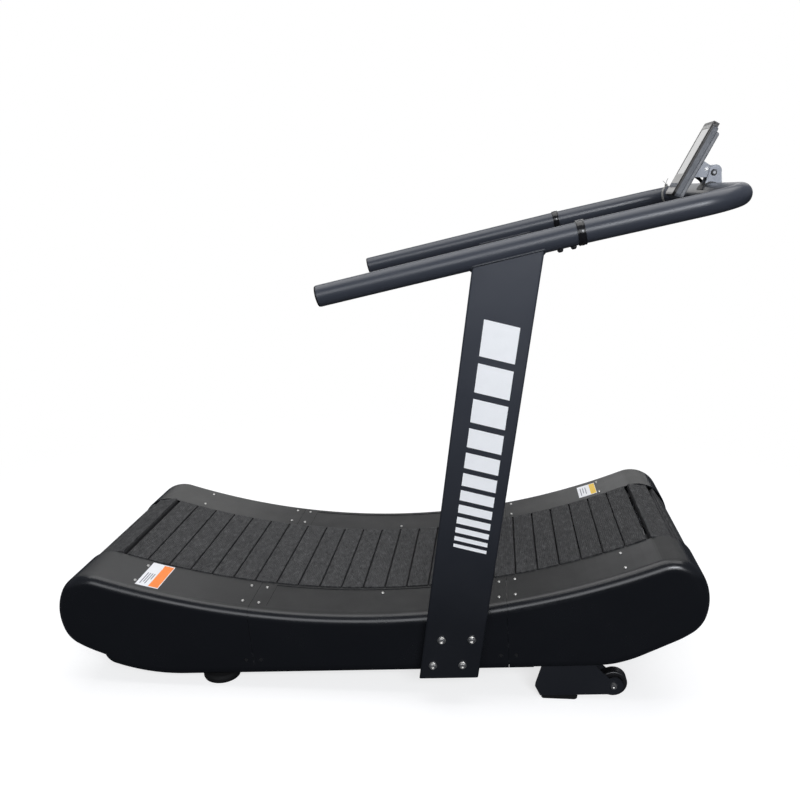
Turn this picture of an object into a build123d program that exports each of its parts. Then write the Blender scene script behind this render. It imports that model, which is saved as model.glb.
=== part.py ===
from build123d import *
from math import sin, cos, tan, asin, sqrt, pi, radians, degrees
import os

os.makedirs("parts", exist_ok=True)

# Curved manual treadmill.
# Row frame: +X forward (towards the console), +Y to the user's left, +Z up,
# origin on the floor under the middle of the machine. All sizes in mm.
#
# The machine is laid out in a deck frame (x along the deck, z square to it,
# z = 0 near the lower edge of the side covers). The deck stands nose-up on
# the floor because the front feet are taller than the rear feet.
# A side is +1 for the left (+Y) and -1 for the right (-Y).

# ------------------------------------------------------- driving dimensions
TILT = radians(3.7)        # nose-up angle of the deck on the floor
DECK_X = 11.810            # where the deck frame's origin stands in the row frame
DECK_Z = 75.6

SLAT_COUNT = 57            # slats in the closed belt
SLAT_PITCH = 64.6          # pitch on the belt's neutral line
SLAT_HALF_LEN = 213.5      # half the slat's length across the deck
BELT_T = 6.0
BELT_W = 40.0
BELT_Y = 170.0             # middle of each drive belt
BELT_GAP = 0.35            # clearance from a belt to the slats and the pulley rims
SURFACE_R = 2235.0         # radius of the concave running surface
SURFACE_LOW = 172.7        # lowest point of the running surface, deck frame
WRAP_SURFACE_R = 100.0     # radius of the tread surface round an end pulley
PULLEY_X = 783.6           # end pulley centres, deck frame
NEUTRAL_DEPTH = 21.0       # belt neutral line below the tread surface

PLATE_IN, PLATE_OUT = 226.0, 232.0     # faces of the curved side plates
COVER_IN = 215.5           # inner edge of the cover flange
COVER_OUT = 386.0          # outer face of the covers
COVER_LOW = -10.0          # lower edge of the covers
FLANGE_R = 2238.0          # flange follows the running surface, 3 mm lower

BASE_RAIL_IN, BASE_RAIL_OUT = 312.0, 372.0
BASE_RAIL_Z0, BASE_RAIL_Z1 = 2.0, 62.0
BASE_RAIL_X0, BASE_RAIL_X1 = -606.0, 626.0
BASE_RAIL_WALL = 3.0
UPRIGHT_PLATE_T = 6.0      # plate on the base rail that the upright bolts to
UPRIGHT_PLATE_OUT = BASE_RAIL_OUT + UPRIGHT_PLATE_T

UPRIGHT_LEAN = radians(10.07)          # from the deck's normal
UPRIGHT_X = 111.0          # rear lower corner, deck frame
UPRIGHT_W = 161.0          # width measured along the deck
UPRIGHT_T = 40.0
UPRIGHT_WALL = 3.0
UPRIGHT_Y = 407.2          # middle plane of uprights and handrails
# (x, z) of the bolts at each upright's foot, deck frame
UPRIGHT_BOLTS = [(179.0, 117.5), (260.0, 117.5), (151.0, 40.0), (231.5, 40.0)]

HANDRAIL_R = 25.4
HANDRAIL_WALL = 2.5
HANDRAIL_SLOPE = radians(10.4)         # rear handrail's rise in the deck frame
HANDRAIL_X0 = -60.0
HANDRAIL_JOINT_X = 552.0
U_BAR_SLOPE = radians(9.55)            # front U-bar's rise
U_BAR_CROSS_X = 933.0
U_BAR_BEND_R = 120.0

PIVOT_X, PIVOT_Z = 939.0, 1264.5       # console pivot, deck frame

REAR_FOOT_Y = 322.0


# ---------------------------------------------------------- frame and planes
def to_row(x, y, z):
    """Deck-frame point to row frame."""
    return (DECK_X + x * cos(TILT) - z * sin(TILT), y,
            DECK_Z + x * sin(TILT) + z * cos(TILT))


def row_dir(x, z):
    """Deck-frame direction to row frame."""
    return (x * cos(TILT) - z * sin(TILT), 0.0, x * sin(TILT) + z * cos(TILT))


def deck(y, x=0.0, z=0.0):
    """Side plane at y, facing -Y: local x along the deck, local y square to it."""
    return Plane(origin=to_row(x, y, z), x_dir=row_dir(1, 0), z_dir=(0, -1, 0))


def slab(side, inner, outer, x=0.0, z=0.0):
    """Side plane from which extruding outer - inner fills |y| = inner to outer."""
    return deck(outer if side > 0 else -inner, x, z)


def across(origin, normal):
    """Plane with local x across the machine, towards +Y."""
    return Plane(origin=origin, x_dir=(0, 1, 0), z_dir=normal)


def level(x, y, z):
    """Plane parallel to the floor, facing up."""
    return Plane(origin=(x, y, z), x_dir=(1, 0, 0), z_dir=(0, 0, 1))


def save(part, name):
    part.label = name
    export_step(part, "parts/" + name + ".step")


def save_pair(make, name):
    """Build and save the right and left versions of a piece."""
    for side, word in ((-1, "right"), (1, "left")):
        save(make(side), name + "_" + word)


# ------------------------------------------------------- belt loop geometry
ARC_Z = SURFACE_LOW + SURFACE_R               # centre height of the running arc
BELT_R = SURFACE_R + NEUTRAL_DEPTH            # neutral line under the surface
WRAP_R = WRAP_SURFACE_R - NEUTRAL_DEPTH       # neutral line round the pulleys
TOP_ANGLE = asin(PULLEY_X / (SURFACE_R + WRAP_SURFACE_R))
PULLEY_Z = ARC_Z - (SURFACE_R + WRAP_SURFACE_R) * cos(TOP_ANGLE)


def lower_radius(low_z):
    """Radius of the hanging lower run that is tangent to both pulleys."""
    h = low_z - PULLEY_Z
    # (radius + h)^2 + PULLEY_X^2 = (radius - WRAP_R)^2
    return (WRAP_R ** 2 - PULLEY_X ** 2 - h ** 2) / (2 * h + 2 * WRAP_R)


def lower_angle(radius):
    """Half the angle that the lower run spans."""
    return asin(PULLEY_X / (radius - WRAP_R))


def loop_length(low_z):
    radius = lower_radius(low_z)
    angle = lower_angle(radius)
    return BELT_R * 2 * TOP_ANGLE + 2 * WRAP_R * (pi + TOP_ANGLE - angle) + radius * 2 * angle


def solve_low_z():
    """Lowest point of the lower run that makes the loop a whole number of slats."""
    low, high = 20.0, 110.0
    for _ in range(60):
        middle = (low + high) / 2
        if loop_length(middle) > SLAT_COUNT * SLAT_PITCH:
            low = middle
        else:
            high = middle
    return (low + high) / 2


LOW_Z = solve_low_z()
LOW_R = lower_radius(LOW_Z)
LOW_CENTRE_Z = LOW_Z + LOW_R
LOW_ANGLE = lower_angle(LOW_R)
LOOP = loop_length(LOW_Z)


def loop_point(s):
    """Neutral line point (x, z) and slat turn in degrees, s measured from the
    middle of the running surface towards the front."""
    s = s % LOOP
    half_top = BELT_R * TOP_ANGLE
    if s <= half_top or s >= LOOP - half_top:
        turn = s / BELT_R if s <= half_top else (s - LOOP) / BELT_R
        return BELT_R * sin(turn), ARC_Z - BELT_R * cos(turn), degrees(turn)
    s -= half_top
    wrap = WRAP_R * (pi + TOP_ANGLE - LOW_ANGLE)
    if s <= wrap:
        turn = TOP_ANGLE - s / WRAP_R
        return PULLEY_X - WRAP_R * sin(turn), PULLEY_Z + WRAP_R * cos(turn), degrees(turn)
    s -= wrap
    lower_run = LOW_R * 2 * LOW_ANGLE
    if s <= lower_run:
        place = LOW_ANGLE - s / LOW_R         # position angle along the lower arc
        return LOW_R * sin(place), LOW_CENTRE_Z - LOW_R * cos(place), degrees(place) + 180.0
    s -= lower_run
    turn = -pi - LOW_ANGLE - s / WRAP_R
    return -PULLEY_X - WRAP_R * sin(turn), PULLEY_Z + WRAP_R * cos(turn), degrees(turn)


def loop_outline(off):
    """The loop offset outwards from the neutral line, drawn in the current line."""
    top_r, wrap_r, low_r = BELT_R - off, WRAP_R + off, LOW_R + off
    top_x, top_z = top_r * sin(TOP_ANGLE), ARC_Z - top_r * cos(TOP_ANGLE)
    low_x, low_z = low_r * sin(LOW_ANGLE), LOW_CENTRE_Z - low_r * cos(LOW_ANGLE)
    ThreePointArc((-top_x, top_z), (0, ARC_Z - top_r), (top_x, top_z))
    ThreePointArc((top_x, top_z), (PULLEY_X + wrap_r, PULLEY_Z), (low_x, low_z))
    ThreePointArc((low_x, low_z), (0, LOW_CENTRE_Z - low_r), (-low_x, low_z))
    ThreePointArc((-low_x, low_z), (-PULLEY_X - wrap_r, PULLEY_Z), (-top_x, top_z))


with BuildPart() as drive_belts:
    for side in (1, -1):
        with BuildSketch(deck(side * BELT_Y + BELT_W / 2)):
            for off, mode in ((BELT_T / 2, Mode.ADD), (-BELT_T / 2, Mode.SUBTRACT)):
                with BuildLine():
                    loop_outline(off)
                make_face(mode=mode)
        extrude(amount=BELT_W)
save(drive_belts.part, "drive_belts")

# ------------------------------------------- slats: carriers and their treads
TREAD_W = 60.2             # rubber tread, along the belt
TREAD_T = 8.0
TREAD_BEVEL = 1.8
CARRIER_W = 61.4           # aluminium slat under the tread
CARRIER_T = 9.6
CHANNEL_W, CHANNEL_H = 9.0, 3.02
CHANNEL_DEPTH = 1.5        # channel's middle below the carrier's top
FIRST_SLAT = 34.2          # first slat's place along the loop
CARRIER_OFF = BELT_T / 2 + BELT_GAP + CARRIER_T / 2
TREAD_OFF = BELT_T / 2 + BELT_GAP + CARRIER_T + TREAD_T / 2
SLATS = [loop_point(FIRST_SLAT + i * SLAT_PITCH) for i in range(SLAT_COUNT)]


def slat_point(slat, along, outward):
    """Deck-frame (x, z) of a point given along and out from a slat's station."""
    x, z, turn = slat
    c, s = cos(radians(turn)), sin(radians(turn))
    return (x + along * c - outward * s, z + along * s + outward * c)


with BuildPart() as slat_carriers:
    with BuildSketch(deck(SLAT_HALF_LEN)):
        for slat in SLATS:
            with Locations(slat_point(slat, 0, CARRIER_OFF)):
                Rectangle(CARRIER_W, CARRIER_T, rotation=slat[2])
            # channels along the slat's top, hidden by the tread
            for along in (-17.0, 0.0, 17.0):
                outward = CARRIER_OFF + CARRIER_T / 2 - CHANNEL_DEPTH
                with Locations(slat_point(slat, along, outward)):
                    Rectangle(CHANNEL_W, CHANNEL_H, rotation=slat[2], mode=Mode.SUBTRACT)
    extrude(amount=2 * SLAT_HALF_LEN)
save(slat_carriers.part, "slat_carriers")

HALF_W, HALF_T = TREAD_W / 2, TREAD_T / 2
TREAD_PROFILE = [          # (along, outward) from the tread's middle
    (-HALF_W, -HALF_T), (HALF_W, -HALF_T),
    (HALF_W, HALF_T - TREAD_BEVEL), (HALF_W - TREAD_BEVEL, HALF_T),
    (-HALF_W + TREAD_BEVEL, HALF_T), (-HALF_W, HALF_T - TREAD_BEVEL),
]
with BuildPart() as slat_treads:
    with BuildSketch(deck(SLAT_HALF_LEN)):
        for slat in SLATS:
            corners = [slat_point(slat, along, TREAD_OFF + up) for along, up in TREAD_PROFILE]
            with BuildLine():
                Polyline(*corners, close=True)
            make_face()
    extrude(amount=2 * SLAT_HALF_LEN)
save(slat_treads.part, "slat_treads")

# ------------------------------------------------------- shafts and pulleys
SHAFT_R = 12.5
SHAFT_HALF = 268.0
SHAFT_CHAMFER = 1.2
BARREL_R = SHAFT_R + 5     # thicker middle of the shaft
BARREL_HALF = 140
KEYWAY_W, KEYWAY_H = 6, 4
PULLEY_HALF = 26           # half the pulley's width
PULLEY_RIM_R = WRAP_R - BELT_T / 2 - BELT_GAP
RIM_INNER_R = PULLEY_RIM_R - 9
HUB_R = SHAFT_R + 11
WEB_HALF = 6
WEB_HOLE_R = 12


def end_shaft(x):
    with BuildPart() as shaft:
        with BuildSketch(deck(SHAFT_HALF, x, PULLEY_Z)):
            Circle(SHAFT_R)
        extrude(amount=2 * SHAFT_HALF)
        ends = shaft.faces().sort_by(Axis.Y)
        chamfer(ends[0].edges() + ends[-1].edges(), SHAFT_CHAMFER)
        with BuildSketch(deck(BARREL_HALF, x, PULLEY_Z)):
            Circle(BARREL_R)
        extrude(amount=2 * BARREL_HALF)
        # keyway where each pulley sits
        for side in (1, -1):
            inner, outer = BELT_Y - PULLEY_HALF, BELT_Y + PULLEY_HALF
            with BuildSketch(slab(side, inner, outer, x, PULLEY_Z + SHAFT_R)):
                Rectangle(KEYWAY_W, KEYWAY_H)
            extrude(amount=outer - inner, mode=Mode.SUBTRACT)
    return shaft.part


def end_pulleys(x):
    """Both pulleys of one shaft."""
    with BuildPart() as pulleys:
        for y in (BELT_Y, -BELT_Y):
            with BuildSketch(deck(y + PULLEY_HALF, x, PULLEY_Z)):
                Circle(PULLEY_RIM_R)
            extrude(amount=2 * PULLEY_HALF)
            # hub bore
            with BuildSketch(deck(y + PULLEY_HALF + 1, x, PULLEY_Z)):
                Circle(SHAFT_R + 0.02)
            extrude(amount=2 * PULLEY_HALF + 2, mode=Mode.SUBTRACT)
            # recess on both sides of the web
            for recess_y in (y + PULLEY_HALF + 1, y - WEB_HALF):
                with BuildSketch(deck(recess_y, x, PULLEY_Z)):
                    Circle(RIM_INNER_R)
                    Circle(HUB_R, mode=Mode.SUBTRACT)
                extrude(amount=PULLEY_HALF + 1 - WEB_HALF, mode=Mode.SUBTRACT)
            # lightening holes through the web
            with BuildSketch(deck(y + 10, x, PULLEY_Z)):
                with PolarLocations((RIM_INNER_R + HUB_R) / 2, 6):
                    Circle(WEB_HOLE_R)
            extrude(amount=20, mode=Mode.SUBTRACT)
    return pulleys.part


for end_x, end_name in ((PULLEY_X, "front"), (-PULLEY_X, "rear")):
    save(end_shaft(end_x), end_name + "_shaft")
    save(end_pulleys(end_x), end_name + "_pulleys")

# ------------------------------------------------------------ flange bearings
# square housing outside each side plate, with an insert in its boss
HOUSING_W = 88
HOUSING_T = 12
BOSS_R = 35
BOSS_OUT = PLATE_OUT + 30
HOUSING_BORE_R = 26
BEARING_BORE_R = 12.54
BEARING_BOLT_PITCH = 64
BEARING_BOLT_HOLE_R = 4.6
INSERT_R = 25.95
INSERT_IN, INSERT_OUT = PLATE_OUT + 4, PLATE_OUT + 26

with BuildPart() as bearing_housings:
    for end_x in (PULLEY_X, -PULLEY_X):
        for side in (1, -1):
            flange_out = PLATE_OUT + HOUSING_T
            with BuildSketch(slab(side, PLATE_OUT, flange_out, end_x, PULLEY_Z)):
                RectangleRounded(HOUSING_W, HOUSING_W, 12)
            extrude(amount=HOUSING_T)
            with BuildSketch(slab(side, flange_out, BOSS_OUT, end_x, PULLEY_Z)):
                Circle(BOSS_R)
            extrude(amount=BOSS_OUT - flange_out)
            with BuildSketch(slab(side, PLATE_OUT - 1, BOSS_OUT + 1, end_x, PULLEY_Z)):
                Circle(HOUSING_BORE_R)
                with GridLocations(BEARING_BOLT_PITCH, BEARING_BOLT_PITCH, 2, 2):
                    Circle(BEARING_BOLT_HOLE_R)
            extrude(amount=BOSS_OUT - PLATE_OUT + 2, mode=Mode.SUBTRACT)
save(bearing_housings.part, "bearing_housings")

with BuildPart() as bearing_inserts:
    for end_x in (PULLEY_X, -PULLEY_X):
        for side in (1, -1):
            with BuildSketch(slab(side, INSERT_IN, INSERT_OUT, end_x, PULLEY_Z)):
                Circle(INSERT_R)
                Circle(BEARING_BORE_R, mode=Mode.SUBTRACT)
            extrude(amount=INSERT_OUT - INSERT_IN)
save(bearing_inserts.part, "bearing_inserts")

# ------------------------------------------------------------ guide rollers
ROLLER_R = 15.0
ROLLER_W = 34.0
ROLLER_COUNT = 15          # along each belt
ROLLER_PITCH = 98.0        # roller spacing along the deck
ROLLER_BORE_R = 5.05
ROLLER_BOLT_R = 5.0
ROLLER_BOLT_HEAD_R = 8.0
ROLLER_BOLT_HEAD_T = 5
ROLLER_BOLT_IN = 148       # outer face of the head, at the bolt's inner end
ROLLER_BOLT_OUT = PLATE_OUT + 8
ROLLER_NUT_T = 7

ROLLER_LINE_R = BELT_R + BELT_T / 2 + 0.3 + ROLLER_R
ROLLER_TURNS = [(i - (ROLLER_COUNT - 1) / 2) * ROLLER_PITCH / ROLLER_LINE_R
                for i in range(ROLLER_COUNT)]
ROLLER_CENTRES = [(ROLLER_LINE_R * sin(turn), ARC_Z - ROLLER_LINE_R * cos(turn))
                  for turn in ROLLER_TURNS]

with BuildPart() as guide_rollers:
    for side in (1, -1):
        with BuildSketch(deck(side * BELT_Y + ROLLER_W / 2)):
            with Locations(*ROLLER_CENTRES):
                Circle(ROLLER_R)
                Circle(ROLLER_BORE_R, mode=Mode.SUBTRACT)
        extrude(amount=ROLLER_W)
save(guide_rollers.part, "guide_rollers")

with BuildPart() as roller_bolts:
    for side in (1, -1):
        # shank
        with BuildSketch(slab(side, ROLLER_BOLT_IN, ROLLER_BOLT_OUT)):
            with Locations(*ROLLER_CENTRES):
                Circle(ROLLER_BOLT_R)
        extrude(amount=ROLLER_BOLT_OUT - ROLLER_BOLT_IN)
        # inner head
        with BuildSketch(slab(side, ROLLER_BOLT_IN - ROLLER_BOLT_HEAD_T, ROLLER_BOLT_IN)):
            with Locations(*ROLLER_CENTRES):
                Circle(ROLLER_BOLT_HEAD_R)
        extrude(amount=ROLLER_BOLT_HEAD_T)
        # nut on the outside of the side plate
        with BuildSketch(slab(side, PLATE_OUT, PLATE_OUT + ROLLER_NUT_T)):
            with Locations(*ROLLER_CENTRES):
                RegularPolygon(ROLLER_BOLT_HEAD_R, 6)
        extrude(amount=ROLLER_NUT_T)
save(roller_bolts.part, "roller_bolts")

# ------------------------------------------------------------- side covers
COVER_T = 4.0
COVER_EDGE_R = 29.0        # rounded outer edge
SEAM_X = 357.0             # joints between rear, middle and front covers
SEAM_GAP = 0.9
COVER_END_X = 960          # beyond either end of the covers
LIP_W = 38                 # underside left along the outer wall
PANEL_DEPTH = 1.4          # step panel sunk into the middle cover's flange
PANEL_X = SEAM_X - 45
PANEL_W = 122
SCREW_IN, SCREW_OUT = 245.0, 336.0     # |y| of the flange screws
SCREW_HOLE_R = 2.6
SIDE_SCREW_X = [-SEAM_X - 21, -SEAM_X + 21, SEAM_X - 21, SEAM_X + 21]
SIDE_SCREW_Z = 42.0
SIDE_POCKET_R = 5.5
SIDE_POCKET_DEPTH = 1.8
# (x, |y|) of the flange screws; the middle station has no outer screw
FLANGE_SCREWS = [(x, y) for x in (-677.5, -381.0, -336.0, 0.0, 336.0, 381.0, 677.5)
                 for y in ((SCREW_IN, SCREW_OUT) if x else (SCREW_IN,))]


def flange_z(x):
    return ARC_Z - sqrt(FLANGE_R ** 2 - x * x)


def flange_plane(x, y):
    """Plane on the flange surface at station x: local x along it, facing up."""
    slope = asin(x / FLANGE_R) + TILT
    return Plane(origin=to_row(x, y, flange_z(x)), x_dir=(cos(slope), 0, sin(slope)),
                 z_dir=(-sin(slope), 0, cos(slope)))


FLANGE_END_X = 764.0
# ends of the covers as tangent arcs: (radius, heading at the arc's end in degrees)
NOSE_FRONT = [(93.5, -60.0), (160.0, -105.0), (95.0, -145.0), (300.0, -155.0)]
NOSE_REAR = [(93.5, -60.0), (160.0, -105.0), (82.0, -145.0), (300.0, -155.0)]
NOSE_LAST_R = 350.0        # arc that meets the lower edge
NOSE_LAST_TURN = radians(25)


def nose_arcs(nose):
    """Start, middle and end points of each nose arc, drawn as for the front end."""
    x, z = FLANGE_END_X, flange_z(FLANGE_END_X)
    heading = degrees(asin(FLANGE_END_X / FLANGE_R))
    arcs = []
    for radius, end_heading in nose:
        centre_x = x + radius * sin(radians(heading))
        centre_z = z - radius * cos(radians(heading))
        points = [(x, z)]
        for h in ((heading + end_heading) / 2, end_heading):
            points.append((centre_x - radius * sin(radians(h)),
                           centre_z + radius * cos(radians(h))))
        arcs.append(points)
        x, z = points[-1]
        heading = end_heading
    return arcs


def cover_outline():
    """Side silhouette of the covers, drawn in the current line."""
    end_z = flange_z(FLANGE_END_X)
    ThreePointArc((-FLANGE_END_X, end_z), (0, ARC_Z - FLANGE_R), (FLANGE_END_X, end_z))
    last_z = COVER_LOW + NOSE_LAST_R * (1 - cos(NOSE_LAST_TURN))
    half_turn = NOSE_LAST_TURN / 2
    bottom_ends = []
    for end, nose in ((1, NOSE_FRONT), (-1, NOSE_REAR)):
        arcs = nose_arcs(nose)
        for arc in arcs:
            ThreePointArc(*[(end * x, z) for x, z in arc])
        nose_x, nose_z = arcs[-1][-1]
        last_x = nose_x - (nose_z - last_z) / tan(NOSE_LAST_TURN)
        bottom_x = last_x - NOSE_LAST_R * sin(NOSE_LAST_TURN)
        Line((end * nose_x, nose_z), (end * last_x, last_z))
        ThreePointArc((end * last_x, last_z),
                      (end * (bottom_x + NOSE_LAST_R * sin(half_turn)),
                       COVER_LOW + NOSE_LAST_R * (1 - cos(half_turn))),
                      (end * bottom_x, COVER_LOW))
        bottom_ends.append(end * bottom_x)
    Line((bottom_ends[0], COVER_LOW), (bottom_ends[1], COVER_LOW))


def bulge_outline():
    """Fuller lower corner of the rear covers, ending in a crease under the nose."""
    front_x, rear_x, top_z = -565, -745, 125
    shallow = JernArc((front_x, COVER_LOW), (-1, 0), 530, -22)
    tight = JernArc(shallow @ 1, shallow % 1, 47, -66)
    Line(tight @ 1, (rear_x, top_z))
    Line((rear_x, top_z), (front_x, top_z))
    Line((front_x, top_z), (front_x, COVER_LOW))


def cover_solid(y_start, depth, inset, edge_r):
    """Right side of the covers as a solid, optionally inset, outer edge rounded."""
    with BuildPart() as main:
        with BuildSketch(deck(y_start)):
            with BuildLine():
                cover_outline()
            make_face()
            if inset:
                offset(amount=-inset, mode=Mode.REPLACE)
        extrude(amount=depth)
        fillet(main.faces().sort_by(Axis.Y)[0].edges(), edge_r)
    with BuildPart() as bulge:
        with BuildSketch(deck(y_start)):
            with BuildLine():
                bulge_outline()
            make_face()
            if inset:
                offset(amount=-inset, mode=Mode.REPLACE)
        extrude(amount=depth)
        outer_face = bulge.faces().sort_by(Axis.Y)[0]
        fillet(outer_face.edges().filter_by(GeomType.CIRCLE), edge_r)
    with BuildPart() as both:
        add(main.part)
        add(bulge.part)
    return both.part


COVER_W = COVER_OUT - COVER_IN
SHELL_OUTER = cover_solid(-COVER_IN, COVER_W, 0.0, COVER_EDGE_R)
SHELL_CORE = cover_solid(-COVER_IN + 2, COVER_W + 2 - COVER_T, COVER_T, COVER_EDGE_R - COVER_T)


def cover_piece(x0, x1):
    """The right cover between two seams."""
    with BuildPart() as cover:
        add(SHELL_OUTER)
        add(SHELL_CORE, mode=Mode.SUBTRACT)
        # keep the piece between its seams
        with BuildSketch(deck(-COVER_IN + 3)):
            with Locations(((x0 + x1) / 2, 150)):
                Rectangle(x1 - x0, 420)
        extrude(amount=COVER_W + 8, mode=Mode.INTERSECT)
        # open underside: only a narrow lip is left along the outer wall
        with BuildSketch(deck(-COVER_IN + 2)):
            with Locations((0, -4)):
                Rectangle(1380, 60)
        extrude(amount=COVER_W - LIP_W, mode=Mode.SUBTRACT)
        if x0 > 0:
            # room for the front foot bracket and the wheel
            with BuildSketch(deck(-COVER_IN + 2)):
                with Locations((560, -8)):
                    Rectangle(270, 20)
            extrude(amount=380 - COVER_IN + 2, mode=Mode.SUBTRACT)
        for screw_x, screw_y in FLANGE_SCREWS:
            if x0 < screw_x < x1:
                with BuildSketch(flange_plane(screw_x, -screw_y).offset(8)):
                    Circle(SCREW_HOLE_R)
                extrude(amount=-20, mode=Mode.SUBTRACT)
        # low side screws, each in a shallow pocket
        for screw_x in SIDE_SCREW_X:
            if x0 < screw_x < x1:
                for radius, cut in ((SIDE_POCKET_R, SIDE_POCKET_DEPTH + 1), (SCREW_HOLE_R, 8)):
                    with BuildSketch(deck(-COVER_OUT - 1, screw_x, SIDE_SCREW_Z)):
                        Circle(radius)
                    extrude(amount=-cut, mode=Mode.SUBTRACT)
        if x0 < 0 < x1:
            # clearance holes for the upright's spacers
            for bolt_x, bolt_z in UPRIGHT_BOLTS:
                with BuildSketch(deck(-COVER_OUT - 1, bolt_x, bolt_z)):
                    Circle(12.0)
                extrude(amount=-12, mode=Mode.SUBTRACT)
            # shallow step panel sunk into the flange
            with BuildSketch(deck(-COVER_IN - 9)):
                with BuildLine():
                    panel_r = FLANGE_R + PANEL_DEPTH
                    end_z = ARC_Z - sqrt(panel_r ** 2 - PANEL_X * PANEL_X)
                    ThreePointArc((-PANEL_X, end_z), (0, ARC_Z - panel_r), (PANEL_X, end_z))
                    Line((PANEL_X, end_z), (PANEL_X, end_z + 30))
                    Line((PANEL_X, end_z + 30), (-PANEL_X, end_z + 30))
                    Line((-PANEL_X, end_z + 30), (-PANEL_X, end_z))
                make_face()
            extrude(amount=PANEL_W, mode=Mode.SUBTRACT)
    return cover.part


for cover_name, cover_x0, cover_x1 in (
    ("rear", -COVER_END_X, -SEAM_X - SEAM_GAP / 2),
    ("middle", -SEAM_X + SEAM_GAP / 2, SEAM_X - SEAM_GAP / 2),
    ("front", SEAM_X + SEAM_GAP / 2, COVER_END_X),
):
    right_cover = cover_piece(cover_x0, cover_x1)
    save(right_cover, cover_name + "_cover_right")
    with BuildPart() as left_cover:
        mirror(right_cover, about=Plane.XZ)
    save(left_cover.part, cover_name + "_cover_left")

# pan-head cover screws, on the flange and low on the side
SCREW_SHANK_R = 2.3
SCREW_LIFT = 0.05          # head clear of the cover
with BuildPart() as cover_screws:
    for side in (-1, 1):
        for screw_x, screw_y in FLANGE_SCREWS:
            sink = PANEL_DEPTH if screw_x == 0.0 else 0.0
            seat = flange_plane(screw_x, side * screw_y).offset(SCREW_LIFT - sink)
            with BuildSketch(seat):
                Circle(4.6)
            extrude(amount=2.4, taper=24)
            with BuildSketch(seat):
                Circle(SCREW_SHANK_R)
            extrude(amount=-11.0)
        outward = -side    # deck planes face -Y
        for screw_x in SIDE_SCREW_X:
            seat_y = side * (COVER_OUT - SIDE_POCKET_DEPTH + SCREW_LIFT)
            with BuildSketch(deck(seat_y, screw_x, SIDE_SCREW_Z)):
                Circle(4.4)
            extrude(amount=1.4 * outward)
            with BuildSketch(deck(seat_y, screw_x, SIDE_SCREW_Z)):
                Circle(SCREW_SHANK_R)
            extrude(amount=-9 * outward)
save(cover_screws.part, "cover_screws")

# --------------------------------------------------------------- base frame
PLATE_T = PLATE_OUT - PLATE_IN
PLATE_INSET = 16           # side plate's edge inside the cover outline
CLEAT_X = 358.5            # cleats under the cover seams
CLEAT_END_X = 677.5        # cleats near the ends


def side_plate(side):
    start = slab(side, PLATE_IN, PLATE_OUT)
    with BuildPart() as plate:
        with BuildSketch(start):
            with BuildLine():
                cover_outline()
            make_face()
            offset(amount=-PLATE_INSET, mode=Mode.REPLACE)
        extrude(amount=PLATE_T)
        with BuildSketch(start.offset(-1)):
            # shaft holes, bearing and roller bolt holes, lightening windows
            with Locations((PULLEY_X, PULLEY_Z), (-PULLEY_X, PULLEY_Z)):
                Circle(30)
            for x in (PULLEY_X, -PULLEY_X):
                with Locations((x, PULLEY_Z)):
                    with GridLocations(BEARING_BOLT_PITCH, BEARING_BOLT_PITCH, 2, 2):
                        Circle(BEARING_BOLT_HOLE_R)
            with Locations(*ROLLER_CENTRES):
                Circle(ROLLER_BORE_R)
            with Locations((-560, 90), (-360, 76), (360, 76), (560, 90)):
                SlotOverall(130, 46)
        extrude(amount=PLATE_T + 2, mode=Mode.SUBTRACT)
        # holes the cover cleats bolt to
        with BuildSketch(start.offset(-1)):
            for x in (-CLEAT_END_X, -CLEAT_X, CLEAT_X, CLEAT_END_X):
                with Locations((x, flange_z(x) - 17)):
                    Circle(3.2)
        extrude(amount=PLATE_T + 2, mode=Mode.SUBTRACT)
    return plate.part


save_pair(side_plate, "side_plate")

CROSS_MEMBER_W = 50
CROSS_MEMBERS = [(-520, 126, 38), (-190, 92, 32), (190, 92, 32), (520, 126, 38)]  # x, z, height
with BuildPart() as cross_members:
    for member_x, member_z, height in CROSS_MEMBERS:
        with BuildSketch(deck(PLATE_IN, member_x, member_z)):
            RectangleRounded(CROSS_MEMBER_W, height, 4)
            RectangleRounded(CROSS_MEMBER_W - 6, height - 6, 2, mode=Mode.SUBTRACT)
        extrude(amount=2 * PLATE_IN)
save(cross_members.part, "cross_members")

with BuildPart() as outriggers:
    for outrigger_x in (-560, -250, 250, 560):
        for side in (1, -1):
            with BuildSketch(slab(side, PLATE_OUT, BASE_RAIL_IN, outrigger_x, 32)):
                RectangleRounded(40, 40, 4)
                RectangleRounded(34, 34, 2, mode=Mode.SUBTRACT)
            extrude(amount=BASE_RAIL_IN - PLATE_OUT)
save(outriggers.part, "outriggers")

BASE_RAIL_SIZE = BASE_RAIL_OUT - BASE_RAIL_IN
BASE_RAIL_CAP_T = 3
REAR_FOOT_X = to_row(-473.0, 0, 0)[0] - 2.0    # row frame


def base_rail_plane(x, side):
    """Cross-section plane of a base rail, facing forward."""
    middle = to_row(x, side * (BASE_RAIL_IN + BASE_RAIL_OUT) / 2,
                    (BASE_RAIL_Z0 + BASE_RAIL_Z1) / 2)
    return across(middle, row_dir(1, 0))


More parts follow.
